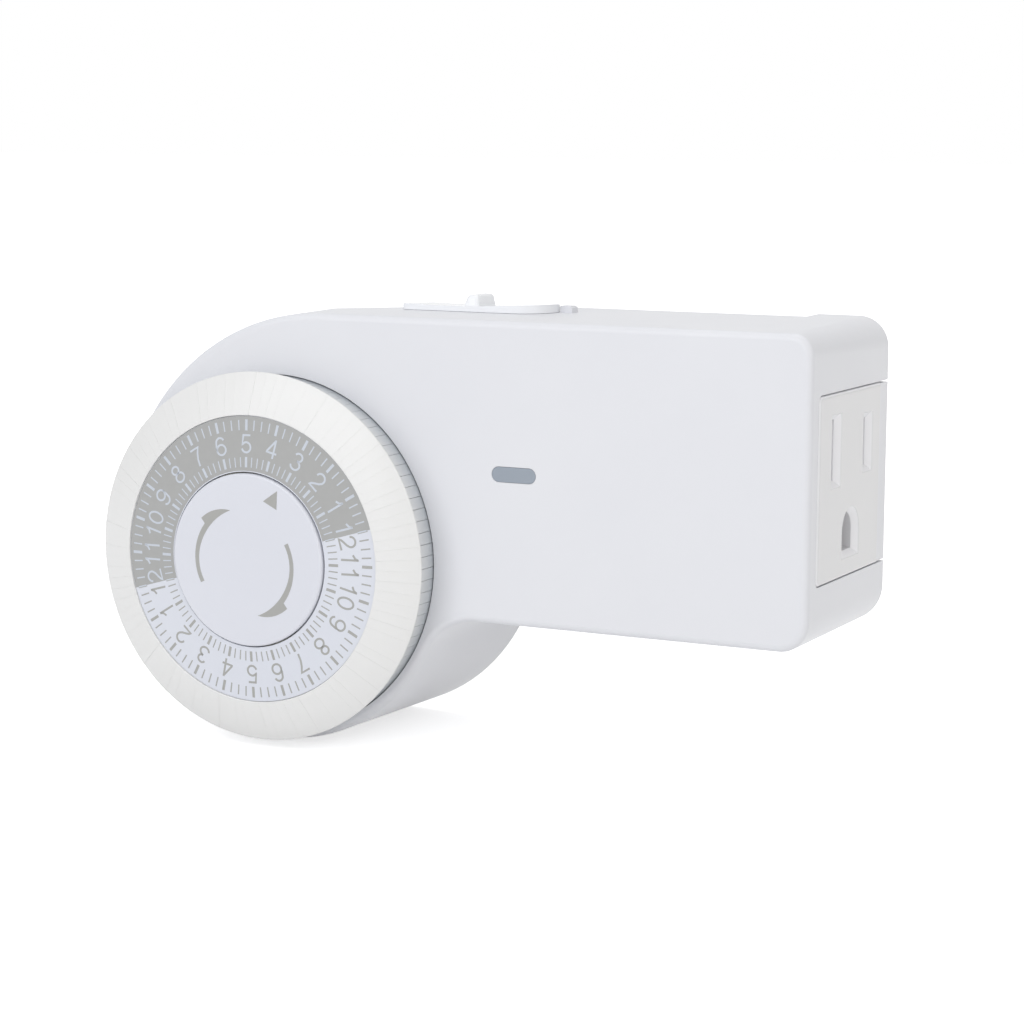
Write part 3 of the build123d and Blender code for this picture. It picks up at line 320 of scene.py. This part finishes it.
# ---- Gear train, levers and switches ----
# Two wheels with pinions step the motor down to the dial, and a rocking lever works the snap
# switch. Wheels, lever, plunger and post are nylon, and both switch bodies are phenolic.

# Natural nylon: milky, warm white, with a waxy gloss.
nylon = moulded("nylon_natural", "e6e2d3", "dcd7c6", 0.40, 0.4, 0.006)
finish_nodes(nylon, "second_wheel", "first_wheel", "dial_post", "trip_lever", "snap_plunger")

# Compression moulded phenolic: nearly black brown, hard, with a faint mottle of its filler.
phenolic = moulded("phenolic_moulded", "2b211c", "1d1613", 0.38, 0.5, 0.01)
finish_nodes(phenolic, "mode_switch_body", "snap_switch_body")


# ---- Lamp ----
# A neon lamp with its resistor, behind a small window of smoked polycarbonate that fills its slot
# in the case's front.

# Smoked polycarbonate, moulded: blue grey, smooth and glossy, with a faint flow line.
smoked_window = moulded("polycarbonate_smoked", "959ea9", "8d96a2", 0.24, 0.6, 0.002)
finish_nodes(smoked_window, "indicator_lens")

# Lamp glass: smooth and shiny, with the faint orange of the gas and the electrodes in it.
finish_nodes(moulded("lamp_glass_thin", "e7b39a", "dca084", 0.10, 1.5, 0.002), "neon_lamp")

# Lacquer over the resistor's ceramic body: sand coloured and smooth.
finish_nodes(moulded("resistor_lacquer", "c8ae7c", "b99c68", 0.35, 0.4, 0.006), "lamp_resistor")


# ---- Outlet ----
# Insert in the case's end with two slots and a ground hole, moulded from polycarbonate, and the
# shutter that slides behind the slots.
def paint_over(tree, share, colour):
    """Lays a colour over a plastic's own, as far as the share from 0 to 1 says."""
    base = next(n for n in tree.nodes if n.type == "BSDF_PRINCIPLED").inputs["Base Color"]
    both = add(tree, "ShaderNodeMix",
               {SHARE: share, PLAIN: base.links[0].from_socket, OTHER: colour}, data_type="RGBA")
    tree.links.new(both.outputs[MIXED], base)


# Smooth white polycarbonate: a little brighter and glossier than the case. Inside the slots and the
# ground hole the plastic is painted paler: painted light, standing for the light that their thin
# walls would let through. The painted light starts, and is full, at these mm in from the insert's
# face.
PAINTED_LIGHT_START, PAINTED_LIGHT_FULL = 0.02, 0.15
outlet_white = moulded("polycarbonate_white", "e0e0e1", "dcdcde", 0.28, 0.4, 0.003)
outlet_tree = outlet_white.node_tree
bar_end = cad_box[1].x
along_bar = add(outlet_tree, "ShaderNodeSeparateXYZ",
                {0: add(outlet_tree, "ShaderNodeTexCoord", {}).outputs["Object"]})
# Painted light: paler from just inside the face, and fully paler deeper in.
painted_light_inside = add(outlet_tree, "ShaderNodeMapRange",
             {"Value": along_bar.outputs["X"], "From Min": bar_end - PAINTED_LIGHT_START * MM,
              "From Max": bar_end - PAINTED_LIGHT_FULL * MM})
paint_over(outlet_tree, painted_light_inside.outputs[0], srgb("f3f3f6"))
finish_nodes(outlet_white, "outlet_face", "outlet_shutter")


# ---- Shutter spring ----
# A compression spring wound from steel wire, along the shutter's lower edge. Its front end rests
# on the chamber's wall and its rear end on the shutter's lug. In the outlet it shortens as the
# shutter slides; here it is wound at one length.

# Its place and its sizes in mm, from the part's origin.
SPRING_X, SPRING_Z = 28.22, 5.95
SPRING_FRONT, SPRING_REAR = -25.8, -8.1
SPRING_MIDDLE_R, SPRING_WIRE_R, SPRING_PITCH = 0.725, 0.175, 1.2
TURN_POINTS, WIRE_SIDES, WIRE_END_ANGLE = 20, 8, math.radians(50)


def new_tree(name, output, kinds):
    """A Geometry Nodes tree with one output and an input of each named kind. It comes with the
    inputs' sockets, and with the identifiers that a modifier knows them by."""
    tree = bpy.data.node_groups.new(name, "GeometryNodeTree")
    tree.interface.new_socket(output, in_out="OUTPUT", socket_type="NodeSocketGeometry")
    keys = {}
    for word, kind in kinds.items():
        kind = "NodeSocket" + kind
        keys[word] = tree.interface.new_socket(word, in_out="INPUT", socket_type=kind).identifier
    return tree, add(tree, "NodeGroupInput", {}).outputs, keys


def run_tree(name, tree, keys, values):
    """Runs a tree on an empty carrier and keeps what it makes as a plain mesh."""
    carrier = bpy.data.objects.new(name, bpy.data.meshes.new(name))
    run = carrier.modifiers.new(tree.name, "NODES")
    run.node_group = tree
    for word, value in values.items():
        run[keys[word]] = value
    bpy.context.collection.objects.link(carrier)
    worked = carrier.evaluated_get(bpy.context.evaluated_depsgraph_get())
    made = bpy.data.meshes.new_from_object(worked)
    bpy.data.objects.remove(carrier)
    made.name = name
    return made


winding, wound, winding_keys = new_tree("wound_spring", "Spring", {
    "Start": "Vector", "Length": "Float", "Pitch": "Float", "Middle radius": "Float",
    "Wire radius": "Float", "Points in a turn": "Int", "Finish": "Material"})
turns = add(winding, "ShaderNodeMath", {0: wound["Length"], 1: wound["Pitch"]}, operation="DIVIDE")
spiral = add(winding, "GeometryNodeCurveSpiral",
             {"Resolution": wound["Points in a turn"], "Rotations": turns.outputs[0],
              "Start Radius": wound["Middle radius"], "End Radius": wound["Middle radius"],
              "Height": wound["Length"]})
along_y = add(winding, "GeometryNodeTransform",
              {"Geometry": spiral.outputs[0], "Translation": wound["Start"],
               "Rotation": (math.radians(-90), 0, 0)})
wire_round = add(winding, "GeometryNodeCurvePrimitiveCircle",
                 {"Resolution": WIRE_SIDES, "Radius": wound["Wire radius"]})
wire = add(winding, "GeometryNodeCurveToMesh",
           {"Curve": along_y.outputs[0], "Profile Curve": wire_round.outputs[0],
            "Fill Caps": True})
wire_real = add(winding, "GeometryNodeRealizeInstances", {"Geometry": wire.outputs[0]})
wire_finished = add(winding, "GeometryNodeSetMaterial",
                    {"Geometry": wire_real.outputs[0], "Material": wound["Finish"]})
add(winding, "NodeGroupOutput", {"Spring": wire_finished.outputs[0]})

spring_mesh = run_tree("wound_shutter_spring", winding, winding_keys, {
    "Start": Vector((SPRING_X, SPRING_FRONT + SPRING_WIRE_R, SPRING_Z)) * MM,
    "Length": (SPRING_REAR - SPRING_FRONT - 2 * SPRING_WIRE_R) * MM, "Pitch": SPRING_PITCH * MM,
    "Middle radius": SPRING_MIDDLE_R * MM, "Wire radius": SPRING_WIRE_R * MM,
    "Points in a turn": TURN_POINTS, "Finish": steel_wire})
spring = bpy.data.objects.new("wound_shutter_spring", spring_mesh)
bpy.context.collection.objects.link(spring)
spring.data.shade_smooth()
spring.data.set_sharp_from_angle(angle=WIRE_END_ANGLE)
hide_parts("shutter_spring")
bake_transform(spring)


# ---- Slide switch ----
# Dished ABS knob with a nub for a fingertip. It slides in a slot in the case's top.

# Polished ABS: whiter than the case, with sharper highlights.
finish_nodes(moulded("abs_white_polished", "f4f5f8", "f0f2f5", 0.24, 0.5, 0.002), "mode_knob")


# ---- Dial wheel and disc ----
# The wheel, its guide ring and the disc in front of it turn together, once a day. The disc is
# white polystyrene, a little conical. Night is printed on it in grey, with the figures left white,
# and the ink stops just short of the disc's edges.
finish_nodes(nylon, "dial_wheel", "trip_guide")

# The line between day and night runs up to the right at this angle.
FIRST_HOUR = math.radians(16.2)
DISC_INNER, DISC_OUTER = 12.95, 21.06
DISC_FRONT, DISC_RISE = -7.78, 0.53
INK_INNER, INK_OUTER, INK_PATCH = 13.08, 21.03, 1.2


def cone(r):
    """How far behind the case's front the disc lies at a radius, in mm. In front is negative."""
    return DISC_FRONT + (r - DISC_INNER) * (DISC_RISE / (DISC_OUTER - DISC_INNER))


# Screen printed polystyrene: cool satin white, and over one half an even warm grey ink that lies
# a little unevenly, with a straight edge through the disc's centre.
disc_finish = moulded("polystyrene_printed", "dbdee6", "d6d9e2", 0.34, 0.35, 0.003)
disc_tree = disc_finish.node_tree
on_disc = add(disc_tree, "ShaderNodeTexCoord", {}).outputs["Object"]
centred = add(disc_tree, "ShaderNodeMapping",
              {"Vector": on_disc, "Location": -at(0, 0, 0)}).outputs[0]
over_line = add(disc_tree, "ShaderNodeVectorMath",
                {0: centred, 1: (-math.sin(FIRST_HOUR), 0, math.cos(FIRST_HOUR))},
                operation="DOT_PRODUCT")
upper = add(disc_tree, "ShaderNodeMath", {0: over_line.outputs["Value"], 1: 0.0},
            operation="GREATER_THAN")
flat = add(disc_tree, "ShaderNodeVectorMath", {0: centred, 1: (1, 0, 1)}, operation="MULTIPLY")
radius = add(disc_tree, "ShaderNodeVectorMath", {0: flat.outputs[0]}, operation="LENGTH")
in_band = add(disc_tree, "ShaderNodeMath",
              {0: radius.outputs["Value"], 1: (INK_INNER + INK_OUTER) / 2 * MM,
               2: (INK_OUTER - INK_INNER) / 2 * MM}, operation="COMPARE")
night = add(disc_tree, "ShaderNodeMath", {0: upper.outputs[0], 1: in_band.outputs[0]},
            operation="MULTIPLY")
lay = add(disc_tree, "ShaderNodeTexNoise",
          {"Vector": on_disc, "Scale": 1 / (INK_PATCH * MM), "Detail": 3.0})
ink = add(disc_tree, "ShaderNodeMix",
          {SHARE: lay.outputs["Fac"], PLAIN: srgb("a9aaa9"), OTHER: srgb("a4a4a3")},
          data_type="RGBA")
paint_over(disc_tree, night.outputs[0], ink.outputs[MIXED])
finish_nodes(disc_finish, "dial_face")


# ---- Figures and minute marks on the disc ----
# Hours from 12 to 12 twice round, upright outwards, between two rings of quarter-hour marks. They
# are grey ink on the day's half, and on the night's half the disc shows through the ink.
INK = 0.02

# A box's faces by its corners, which come in pairs along each of its three edges in turn.
BOX_FACES = [(0, 1, 3, 2), (4, 6, 7, 5), (0, 4, 5, 1), (2, 3, 7, 6), (0, 2, 6, 4), (1, 5, 7, 3)]


def closed_mesh(name, points, faces):
    """A closed mesh with its faces turned outwards, from points in mm about the dial's axis."""
    shape = bmesh.new()
    corners = [shape.verts.new(Vector(p) * MM) for p in points]
    for face in faces:
        shape.faces.new([corners[k] for k in face])
    bmesh.ops.recalc_face_normals(shape, faces=shape.faces)
    made = bpy.data.meshes.new(name)
    shape.to_mesh(made)
    shape.free()
    return made


def set_on_dial(mesh):
    """Brings a mesh made about the dial's axis to the dial's place."""
    for v in mesh.vertices:
        v.co += at(0, 0, 0)
    return mesh


def marks(name, inner, outer, width, turns, ink=INK):
    """Thin bars of ink that point to the centre, each turned from the top of the disc."""
    points, faces = [], []
    for turn in turns:
        faces += [[k + len(points) for k in face] for face in BOX_FACES]
        for side in (-width / 2, width / 2):
            for r in (inner, outer):
                for lift in (-INK / 2, ink):
                    x = side * math.cos(turn) + r * math.sin(turn)
                    z = r * math.cos(turn) - side * math.sin(turn)
                    points.append((x, cone(r) - lift, z))
    return bpy.data.objects.new(name, closed_mesh(name, points, faces))


# The node tree that sets a piece round the dial's axis at a steady pitch. It serves the marks here
# and the trippers further on.
spacing, spaced, spacing_keys = new_tree("pieces_round_the_dial", "Pieces", {
    "Piece": "Object", "Count": "Int", "First turn": "Float", "Pitch": "Float",
    "Unevenness": "Float", "Seed": "Int", "Axis": "Vector", "Finish": "Material"})
line = add(spacing, "GeometryNodeMeshLine",
           {"Count": spaced["Count"], "Start Location": spaced["Axis"], "Offset": (0, 0, 0)})
index = add(spacing, "GeometryNodeInputIndex", {})
turned = add(spacing, "ShaderNodeMath",
             {0: index.outputs[0], 1: spaced["Pitch"], 2: spaced["First turn"]},
             operation="MULTIPLY_ADD")
about_axis = add(spacing, "ShaderNodeCombineXYZ", {"Y": turned.outputs[0]})
rotation = add(spacing, "FunctionNodeEulerToRotation", {"Euler": about_axis.outputs[0]})
piece = add(spacing, "GeometryNodeObjectInfo", {"Object": spaced["Piece"]})
placed = add(spacing, "GeometryNodeInstanceOnPoints",
             {"Points": line.outputs["Mesh"], "Instance": piece.outputs["Geometry"],
              "Rotation": rotation.outputs[0]})
back_a_little = add(spacing, "ShaderNodeMath", {0: spaced["Unevenness"], 1: -1.0},
                    operation="MULTIPLY")
# The sockets of a random number: 2 and 3 are its limits, 8 its seed, and 1 the number itself.
uneven = add(spacing, "FunctionNodeRandomValue",
             {2: back_a_little.outputs[0], 3: spaced["Unevenness"], 8: spaced["Seed"]},
             data_type="FLOAT")
proud = add(spacing, "ShaderNodeCombineXYZ", {"Y": uneven.outputs[1]})
moved = add(spacing, "GeometryNodeTranslateInstances",
            {"Instances": placed.outputs[0], "Translation": proud.outputs[0],
             "Local Space": False})
pieces_real = add(spacing, "GeometryNodeRealizeInstances", {"Geometry": moved.outputs[0]})
pieces_finished = add(spacing, "GeometryNodeSetMaterial",
                      {"Geometry": pieces_real.outputs[0], "Material": spaced["Finish"]})
add(spacing, "NodeGroupOutput", {"Pieces": pieces_finished.outputs[0]})


def set_round(name, one, count, first, pitch, finish, unevenness=0.0, seed=0):
    """A piece set round the dial's axis, as a plain mesh. The unevenness is in mm."""
    return run_tree(name, spacing, spacing_keys, {
        "Piece": one, "Count": count, "First turn": first, "Pitch": pitch,
        "Unevenness": unevenness * MM, "Seed": seed, "Axis": at(0, 0, 0), "Finish": finish})


# Screen ink: opaque, matt and slightly grainy from the mesh it was pulled through.
grey_ink = moulded("screen_ink_grey", "a9a9a6", "a3a3a0", 0.45, 0.3, 0.002)
# The disc itself in the gaps of the night's ink, a little shaded by the ink's edges.
gap_in_ink = moulded("polystyrene_between_ink", "c9cfd8", "c4cad4", 0.40, 0.3, 0.002)

# Each row's inner and outer radius, and the width of its marks.
HOUR_MARKS = {"outer": (18.93, 20.54, 0.42), "inner": (13.58, 15.10, 0.40)}
QUARTER_MARKS = {"outer": (18.95, 20.45, 0.20), "inner": (13.60, 15.05, 0.17)}
HALF_DAY = 12
HOUR = math.radians(180 / HALF_DAY)
QUARTER = HOUR / 4
between = [-QUARTER, -2 * QUARTER, -3 * QUARTER]
hour_marks = [marks(row + "_hour_mark", *sizes, [0.0]) for row, sizes in HOUR_MARKS.items()]
quarter_marks = [marks(row + "_quarter_marks", *sizes, between)
                 for row, sizes in QUARTER_MARKS.items()]
# The marks on the line between day and night stand over the ink's edge.
line_marks = [marks(row + "_line_mark", *sizes, [0.0], 2 * INK)
              for row, sizes in QUARTER_MARKS.items()]

# A figure's foot from the dial's centre, its height, the step to the next, and the pen's width.
FIGURE_FOOT, FIGURE_TALL, FIGURE_PITCH, PEN = 15.6, 2.8, 2.1, 0.30
# Half the pen's width over this is the furthest that a corner of its line sticks out.
CORNER_LIMIT = 0.6
OVAL_STEP = 18
SAME_PLACE = 1e-6


def oval(x, z, wide, tall, first, last):
    """Points along an oval between two angles in degrees, in figure heights."""
    steps = 3 + round(abs(last - first) / OVAL_STEP)
    turns = [math.radians(first + (last - first) * k / steps) for k in range(steps + 1)]
    return [(x + wide * math.cos(t), z + tall * math.sin(t)) for t in turns]


# The pen's way through each figure, from 0 at its foot to 1 at its top.
six = [oval(0.01, 0.70, 0.245, 0.247, 20, 175) + [(-0.27, 0.5)]
       + oval(0, 0.317, 0.27, 0.264, 175, -185)]
pen_ways = {
    "0": [oval(0, 0.5, 0.28, 0.447, 0, 360)],
    "1": [[(-0.21, 0.68), (-0.02, 0.8), (0.06, 0.97)], [(0.06, 1.0), (0.06, 0.0)]],
    "2": [oval(0, 0.685, 0.265, 0.262, 178, -30)
          + [(0.12, 0.42), (-0.08, 0.28), (-0.22, 0.16), (-0.28, 0.053), (0.30, 0.053)]],
    "3": [oval(0, 0.74, 0.225, 0.207, 165, -90), oval(0, 0.293, 0.27, 0.24, 90, -165)],
    "4": [[(0.13, 0.0), (0.13, 1.0)], [(0.32, 0.28), (-0.27, 0.28), (-0.27, 0.33), (0.11, 0.93)]],
    "5": [[(0.25, 0.947), (-0.18, 0.947), (-0.24, 0.46)]
          + oval(0.0, 0.318, 0.265, 0.265, 140, -165)],
    "6": six,
    "7": [[(-0.28, 0.947), (0.27, 0.947), (0.09, 0.66), (-0.03, 0.36), (-0.08, 0.0)]],
    "8": [oval(0, 0.745, 0.222, 0.202, 0, 360), oval(0, 0.293, 0.275, 0.24, 0, 360)],
    "9": [[(-x, 1 - z) for x, z in way] for way in six]}


def pen_line(way):
    """Both edges of a pen line, in mm, as pairs of points, and whether the line is closed."""
    closed = math.dist(way[0], way[-1]) < SAME_PLACE
    places = [Vector(p) * FIGURE_TALL for p in (way[:-1] if closed else way)]
    last = len(places) - 1
    pairs = []
    for k, here in enumerate(places):
        back = here - places[k - 1] if k or closed else places[1] - here
        on = places[(k + 1) % len(places)] - here if k < last or closed else back
        back, on = back.normalized(), on.normalized()
        across = Vector((-back.y - on.y, back.x + on.x)).normalized()
        reach = PEN / 2 / max(across.dot(Vector((-on.y, on.x))), CORNER_LIMIT)
        pairs.append((here + across * reach, here - across * reach))
    return pairs, closed


def printed_figure(figure, turn, offset):
    """The ink of one figure at an hour, laid on the disc's cone."""
    points, faces = [], []
    for way in pen_ways[figure]:
        pairs, closed = pen_line(way)
        first = len(points)
        for pair in pairs:
            for u, v in pair:
                r, u = v + FIGURE_FOOT, u + offset
                x = r * math.cos(turn) + u * math.sin(turn)
                z = r * math.sin(turn) - u * math.cos(turn)
                points += [(x, cone(math.hypot(x, z)) - lift, z) for lift in (-INK / 2, INK)]
        count = len(pairs)
        for k in range(count if closed else count - 1):
            a, b = first + 4 * k, first + 4 * ((k + 1) % count)
            faces += [(a + 1, b + 1, b + 3, a + 3), (a, a + 2, b + 2, b),
                      (a, b, b + 1, a + 1), (a + 2, a + 3, b + 3, b + 2)]
        if not closed:
            end = first + 4 * (count - 1)
            faces += [(first, first + 1, first + 3, first + 2), (end, end + 2, end + 3, end + 1)]
    return set_on_dial(closed_mesh("figure_" + figure, points, faces))


MERGE_DISTANCE = 1e-7


def joined(name, meshes, finish):
    """Several meshes as one piece with one finish."""
    shape = bmesh.new()
    for mesh in meshes:
        shape.from_mesh(mesh)
    bmesh.ops.remove_doubles(shape, verts=shape.verts, dist=MERGE_DISTANCE)
    bmesh.ops.recalc_face_normals(shape, faces=shape.faces)
    for face in shape.faces:
        face.material_index = 0
    made = bpy.data.meshes.new(name)
    shape.to_mesh(made)
    shape.free()
    made.materials.clear()
    made.materials.append(finish)
    held = bpy.data.objects.new(name, made)
    bpy.context.collection.objects.link(held)
    return held


# The 12 on the line has one of its figures on each half, so each figure goes with its own half.
sides = {"night": [], "day": []}
for hour in range(2 * HALF_DAY):
    turn = FIRST_HOUR + hour * HOUR
    figures = str(hour % HALF_DAY or HALF_DAY)
    for k, figure in enumerate(figures):
        offset = (k - (len(figures) - 1) / 2) * FIGURE_PITCH
        place = turn - offset / (FIGURE_FOOT + FIGURE_TALL / 2)
        night_side = 0 < (place - FIRST_HOUR) % (2 * math.pi) < math.pi
        sides["night" if night_side else "day"].append(printed_figure(figure, turn, offset))

# The hours' marks between the ends of the line, the quarters' marks after each hour, and then the
# marks on the line itself.
on_line = math.radians(90) - FIRST_HOUR
for side, first in (("night", on_line), ("day", on_line + math.pi)):
    for mark in hour_marks:
        sides[side].append(set_round(side + "_" + mark.name, mark, HALF_DAY - 1, first - HOUR,
                                     -HOUR, grey_ink))
    for mark in quarter_marks:
        sides[side].append(set_round(side + "_" + mark.name, mark, HALF_DAY, first, -HOUR,
                                     grey_ink))
for side, on_edge in (("day", hour_marks), ("night", line_marks)):
    for mark in on_edge:
        sides[side].append(set_round("edge_" + mark.name, mark, 2, on_line, math.pi, grey_ink))
for side, finish in (("night", gap_in_ink), ("day", grey_ink)):
    print_piece = joined("disc_figures_" + side, sides[side], finish)
    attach(print_piece, "dial")


# ---- Trippers ----
# Ninety-six little slides round the disc, one for each quarter of an hour. Each is moulded acetal,
# with a sloping cap, a skirt over the guide ring and a leg that works the switch when it is pushed.
GROUPS, IN_A_GROUP = 12, 8

# Corners of the cap and the skirt from the side: radius from the dial's axis, place behind the
# case's front, and rounding.
SIDE_VIEW = [(21.12, -7.6, 0.15), (27.4, -5.05, 0.2), (26.42, -3.6, 0.15), (26.42, 1.0, 0.2),
             (25.05, 1.0, 0.0), (25.05, -3.54, 0.0), (22.3, -4.54, 0.0), (21.12, -4.94, 0.0)]
ROUNDING_STEPS = 3
# Half the gap to the next tripper, between the caps in front of CAP_REAR and between the skirts.
CAP_GAP, CAP_REAR, SKIRT_GAP = 0.004, -4.7, 0.03
LEG_SIDES, LEG_ENDS, LEG_RADII = (-0.42, 0.42), (-4.6, 4.0), (22.3, 24.3)
EDGE_ANGLE = math.radians(35)

# How far a tripper may stand in front of the others or behind them.
UNEVENNESS = 0.02


def rounded(corners, steps):
    """A closed outline from (x, y, radius) corners."""
    points = []
    for k, (x, y, radius) in enumerate(corners):
        here = Vector((x, y))
        back = (Vector(corners[k - 1][:2]) - here).normalized()
        on = (Vector(corners[(k + 1) % len(corners)][:2]) - here).normalized()
        if radius == 0:
            points.append(here)
            continue
        half = back.angle(on) / 2
        centre = here + (back + on).normalized() * (radius / math.sin(half))
        start = here + back * radius / math.tan(half) - centre
        end = here + on * radius / math.tan(half) - centre
        sweep = start.angle_signed(end)
        first = math.atan2(start.y, start.x)
        for s in range(steps + 1):
            way = first - sweep * s / steps
            points.append(centre + radius * Vector((math.cos(way), math.sin(way))))
    return points


def prism_faces(size):
    """The faces between two outlines of as many points each, and over both."""
    faces = [(k, (k + 1) % size, size + (k + 1) % size, size + k) for k in range(size)]
    return faces + [tuple(range(size)), tuple(range(size, 2 * size))]


outline = rounded(SIDE_VIEW, ROUNDING_STEPS)
tripper_points = []
for side in (-1, 1):
    for r, y in outline:
        gap = CAP_GAP if y < CAP_REAR else SKIRT_GAP
        tripper_points.append((side * (r * math.tan(QUARTER / 2) - gap), y, r))
tripper_faces = prism_faces(len(outline))
tripper_faces += [tuple(k + len(tripper_points) for k in face) for face in BOX_FACES]
tripper_points += [(x, y, r) for x in LEG_SIDES for y in LEG_ENDS for r in LEG_RADII]
tripper_mesh = closed_mesh("tripper", tripper_points, tripper_faces)
tripper_mesh.shade_smooth()
tripper_mesh.set_sharp_from_angle(angle=EDGE_ANGLE)
tripper = bpy.data.objects.new("tripper", tripper_mesh)

# Acetal, moulded smooth: slightly warm, waxy white, with soft highlights. The skirts are painted
# grey towards the case: painted shade for the shadow in the narrow gap between skirt and case.
SHADE_START, SHADE_END = -4.6, 0.2
acetal = moulded("acetal_white", "e8e8e7", "e4e4e3", 0.30, 0.5, 0.003)
acetal_tree = acetal.node_tree
towards_case = add(acetal_tree, "ShaderNodeSeparateXYZ",
                   {0: add(acetal_tree, "ShaderNodeTexCoord", {}).outputs["Object"]})
# Painted shade: none at the front of the skirt, full grey where it meets the case.
painted_shade = add(acetal_tree, "ShaderNodeMapRange",
            {"Value": towards_case.outputs["Y"], "From Min": at(0, SHADE_START, 0).y,
             "From Max": at(0, SHADE_END, 0).y})
paint_over(acetal_tree, painted_shade.outputs[0], srgb("b9bfc5"))

# The first group starts at the top, so its first tripper's middle is half a step further.
for group in range(GROUPS):
    name = f"trippers_{group + 1:02d}"
    first_turn = (group * IN_A_GROUP + 0.5) * QUARTER
    ring_mesh = set_round("ring_" + name, tripper, IN_A_GROUP, first_turn, QUARTER, acetal,
                          UNEVENNESS, group)
    ring = bpy.data.objects.new("ring_" + name, ring_mesh)
    bpy.context.collection.objects.link(ring)
    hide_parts(name)
    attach(ring, name)


# ---- Centre cap ----
# A glossy ABS button on the fixed post. It doesn't turn: its pointer shows the time, and its two
# arrows show which way the dial is turned to set it.

# Polished ABS, white with a cool cast, and clear soft reflections.
finish_nodes(moulded("abs_white_gloss", "dcdee6", "d8dae2", 0.20, 0.6, 0.001), "centre_cap")
CAP_FRONT = -8.3


def arc(start, through, end, steps):
    """Points along the arc through three points, without its last one."""
    a, b, c = Vector(start), Vector(through), Vector(end)
    aa, bb, cc = a.length_squared, b.length_squared, c.length_squared
    d = 2 * (a.x * (b.y - c.y) + b.x * (c.y - a.y) + c.x * (a.y - b.y))
    centre = Vector(((aa * (b.y - c.y) + bb * (c.y - a.y) + cc * (a.y - b.y)) / d,
                     (aa * (c.x - b.x) + bb * (a.x - c.x) + cc * (b.x - a.x)) / d))
    first = math.atan2(a.y - centre.y, a.x - centre.x)
    sweep = math.remainder(math.atan2(b.y - centre.y, b.x - centre.x) - first, 2 * math.pi)
    rest = math.atan2(c.y - centre.y, c.x - centre.x) - first - sweep
    sweep += math.remainder(rest, 2 * math.pi)
    radius = (a - centre).length
    return [(centre.x + radius * math.cos(first + sweep * s / steps),
             centre.y + radius * math.sin(first + sweep * s / steps)) for s in range(steps)]


def film(name, outline):
    """A flat shape of ink on the cap, from its outline in mm."""
    points = [(x, y, z) for y in (CAP_FRONT - INK, CAP_FRONT + INK / 2) for x, z in outline]
    return set_on_dial(closed_mesh(name, points, prism_faces(len(outline))))


# The left arrow's outline, from its tail up round the outside, over its barb to its tip, and back
# down the inside. The other arrow is the same, turned half round the arrows' middle.
tail_out, neck_out, barb, tip = (-7.91, -3.88), (-7.16, 4.96), (-7.75, 5.72), (-2.73, 7.17)
shaft_top, tail_in = (-7.67, 2.42), (-7.33, -3.57)
arrow = (arc(tail_out, (-8.87, 0.28), neck_out, 12) + [neck_out]
         + arc(barb, (-5.04, 7.13), tip, 10) + arc(tip, (-6.17, 4.8), shaft_top, 12)
         + arc(shaft_top, (-8.2, 0.33), tail_in, 8) + [tail_in])
middle = (-0.43, -0.43)
other_arrow = [(2 * middle[0] - x, 2 * middle[1] - z) for x, z in arrow]
pointer = [(5.32, 10.53), (2.92, 8.89), (5.19, 7.77)]
cap_films = [film("pointer", pointer), film("arrow", arrow), film("other_arrow", other_arrow)]
cap_print = joined("cap_pointer_and_arrows", cap_films, grey_ink)
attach(cap_print, "case")


# ---- Case screws ----
# Five cross-recessed screws of zinc-plated steel, sunk in the back cover: three long ones clamp
# the movement plate, and two short ones hold the cover to the bar.
finish_nodes(zinc_plate, "case_screws")
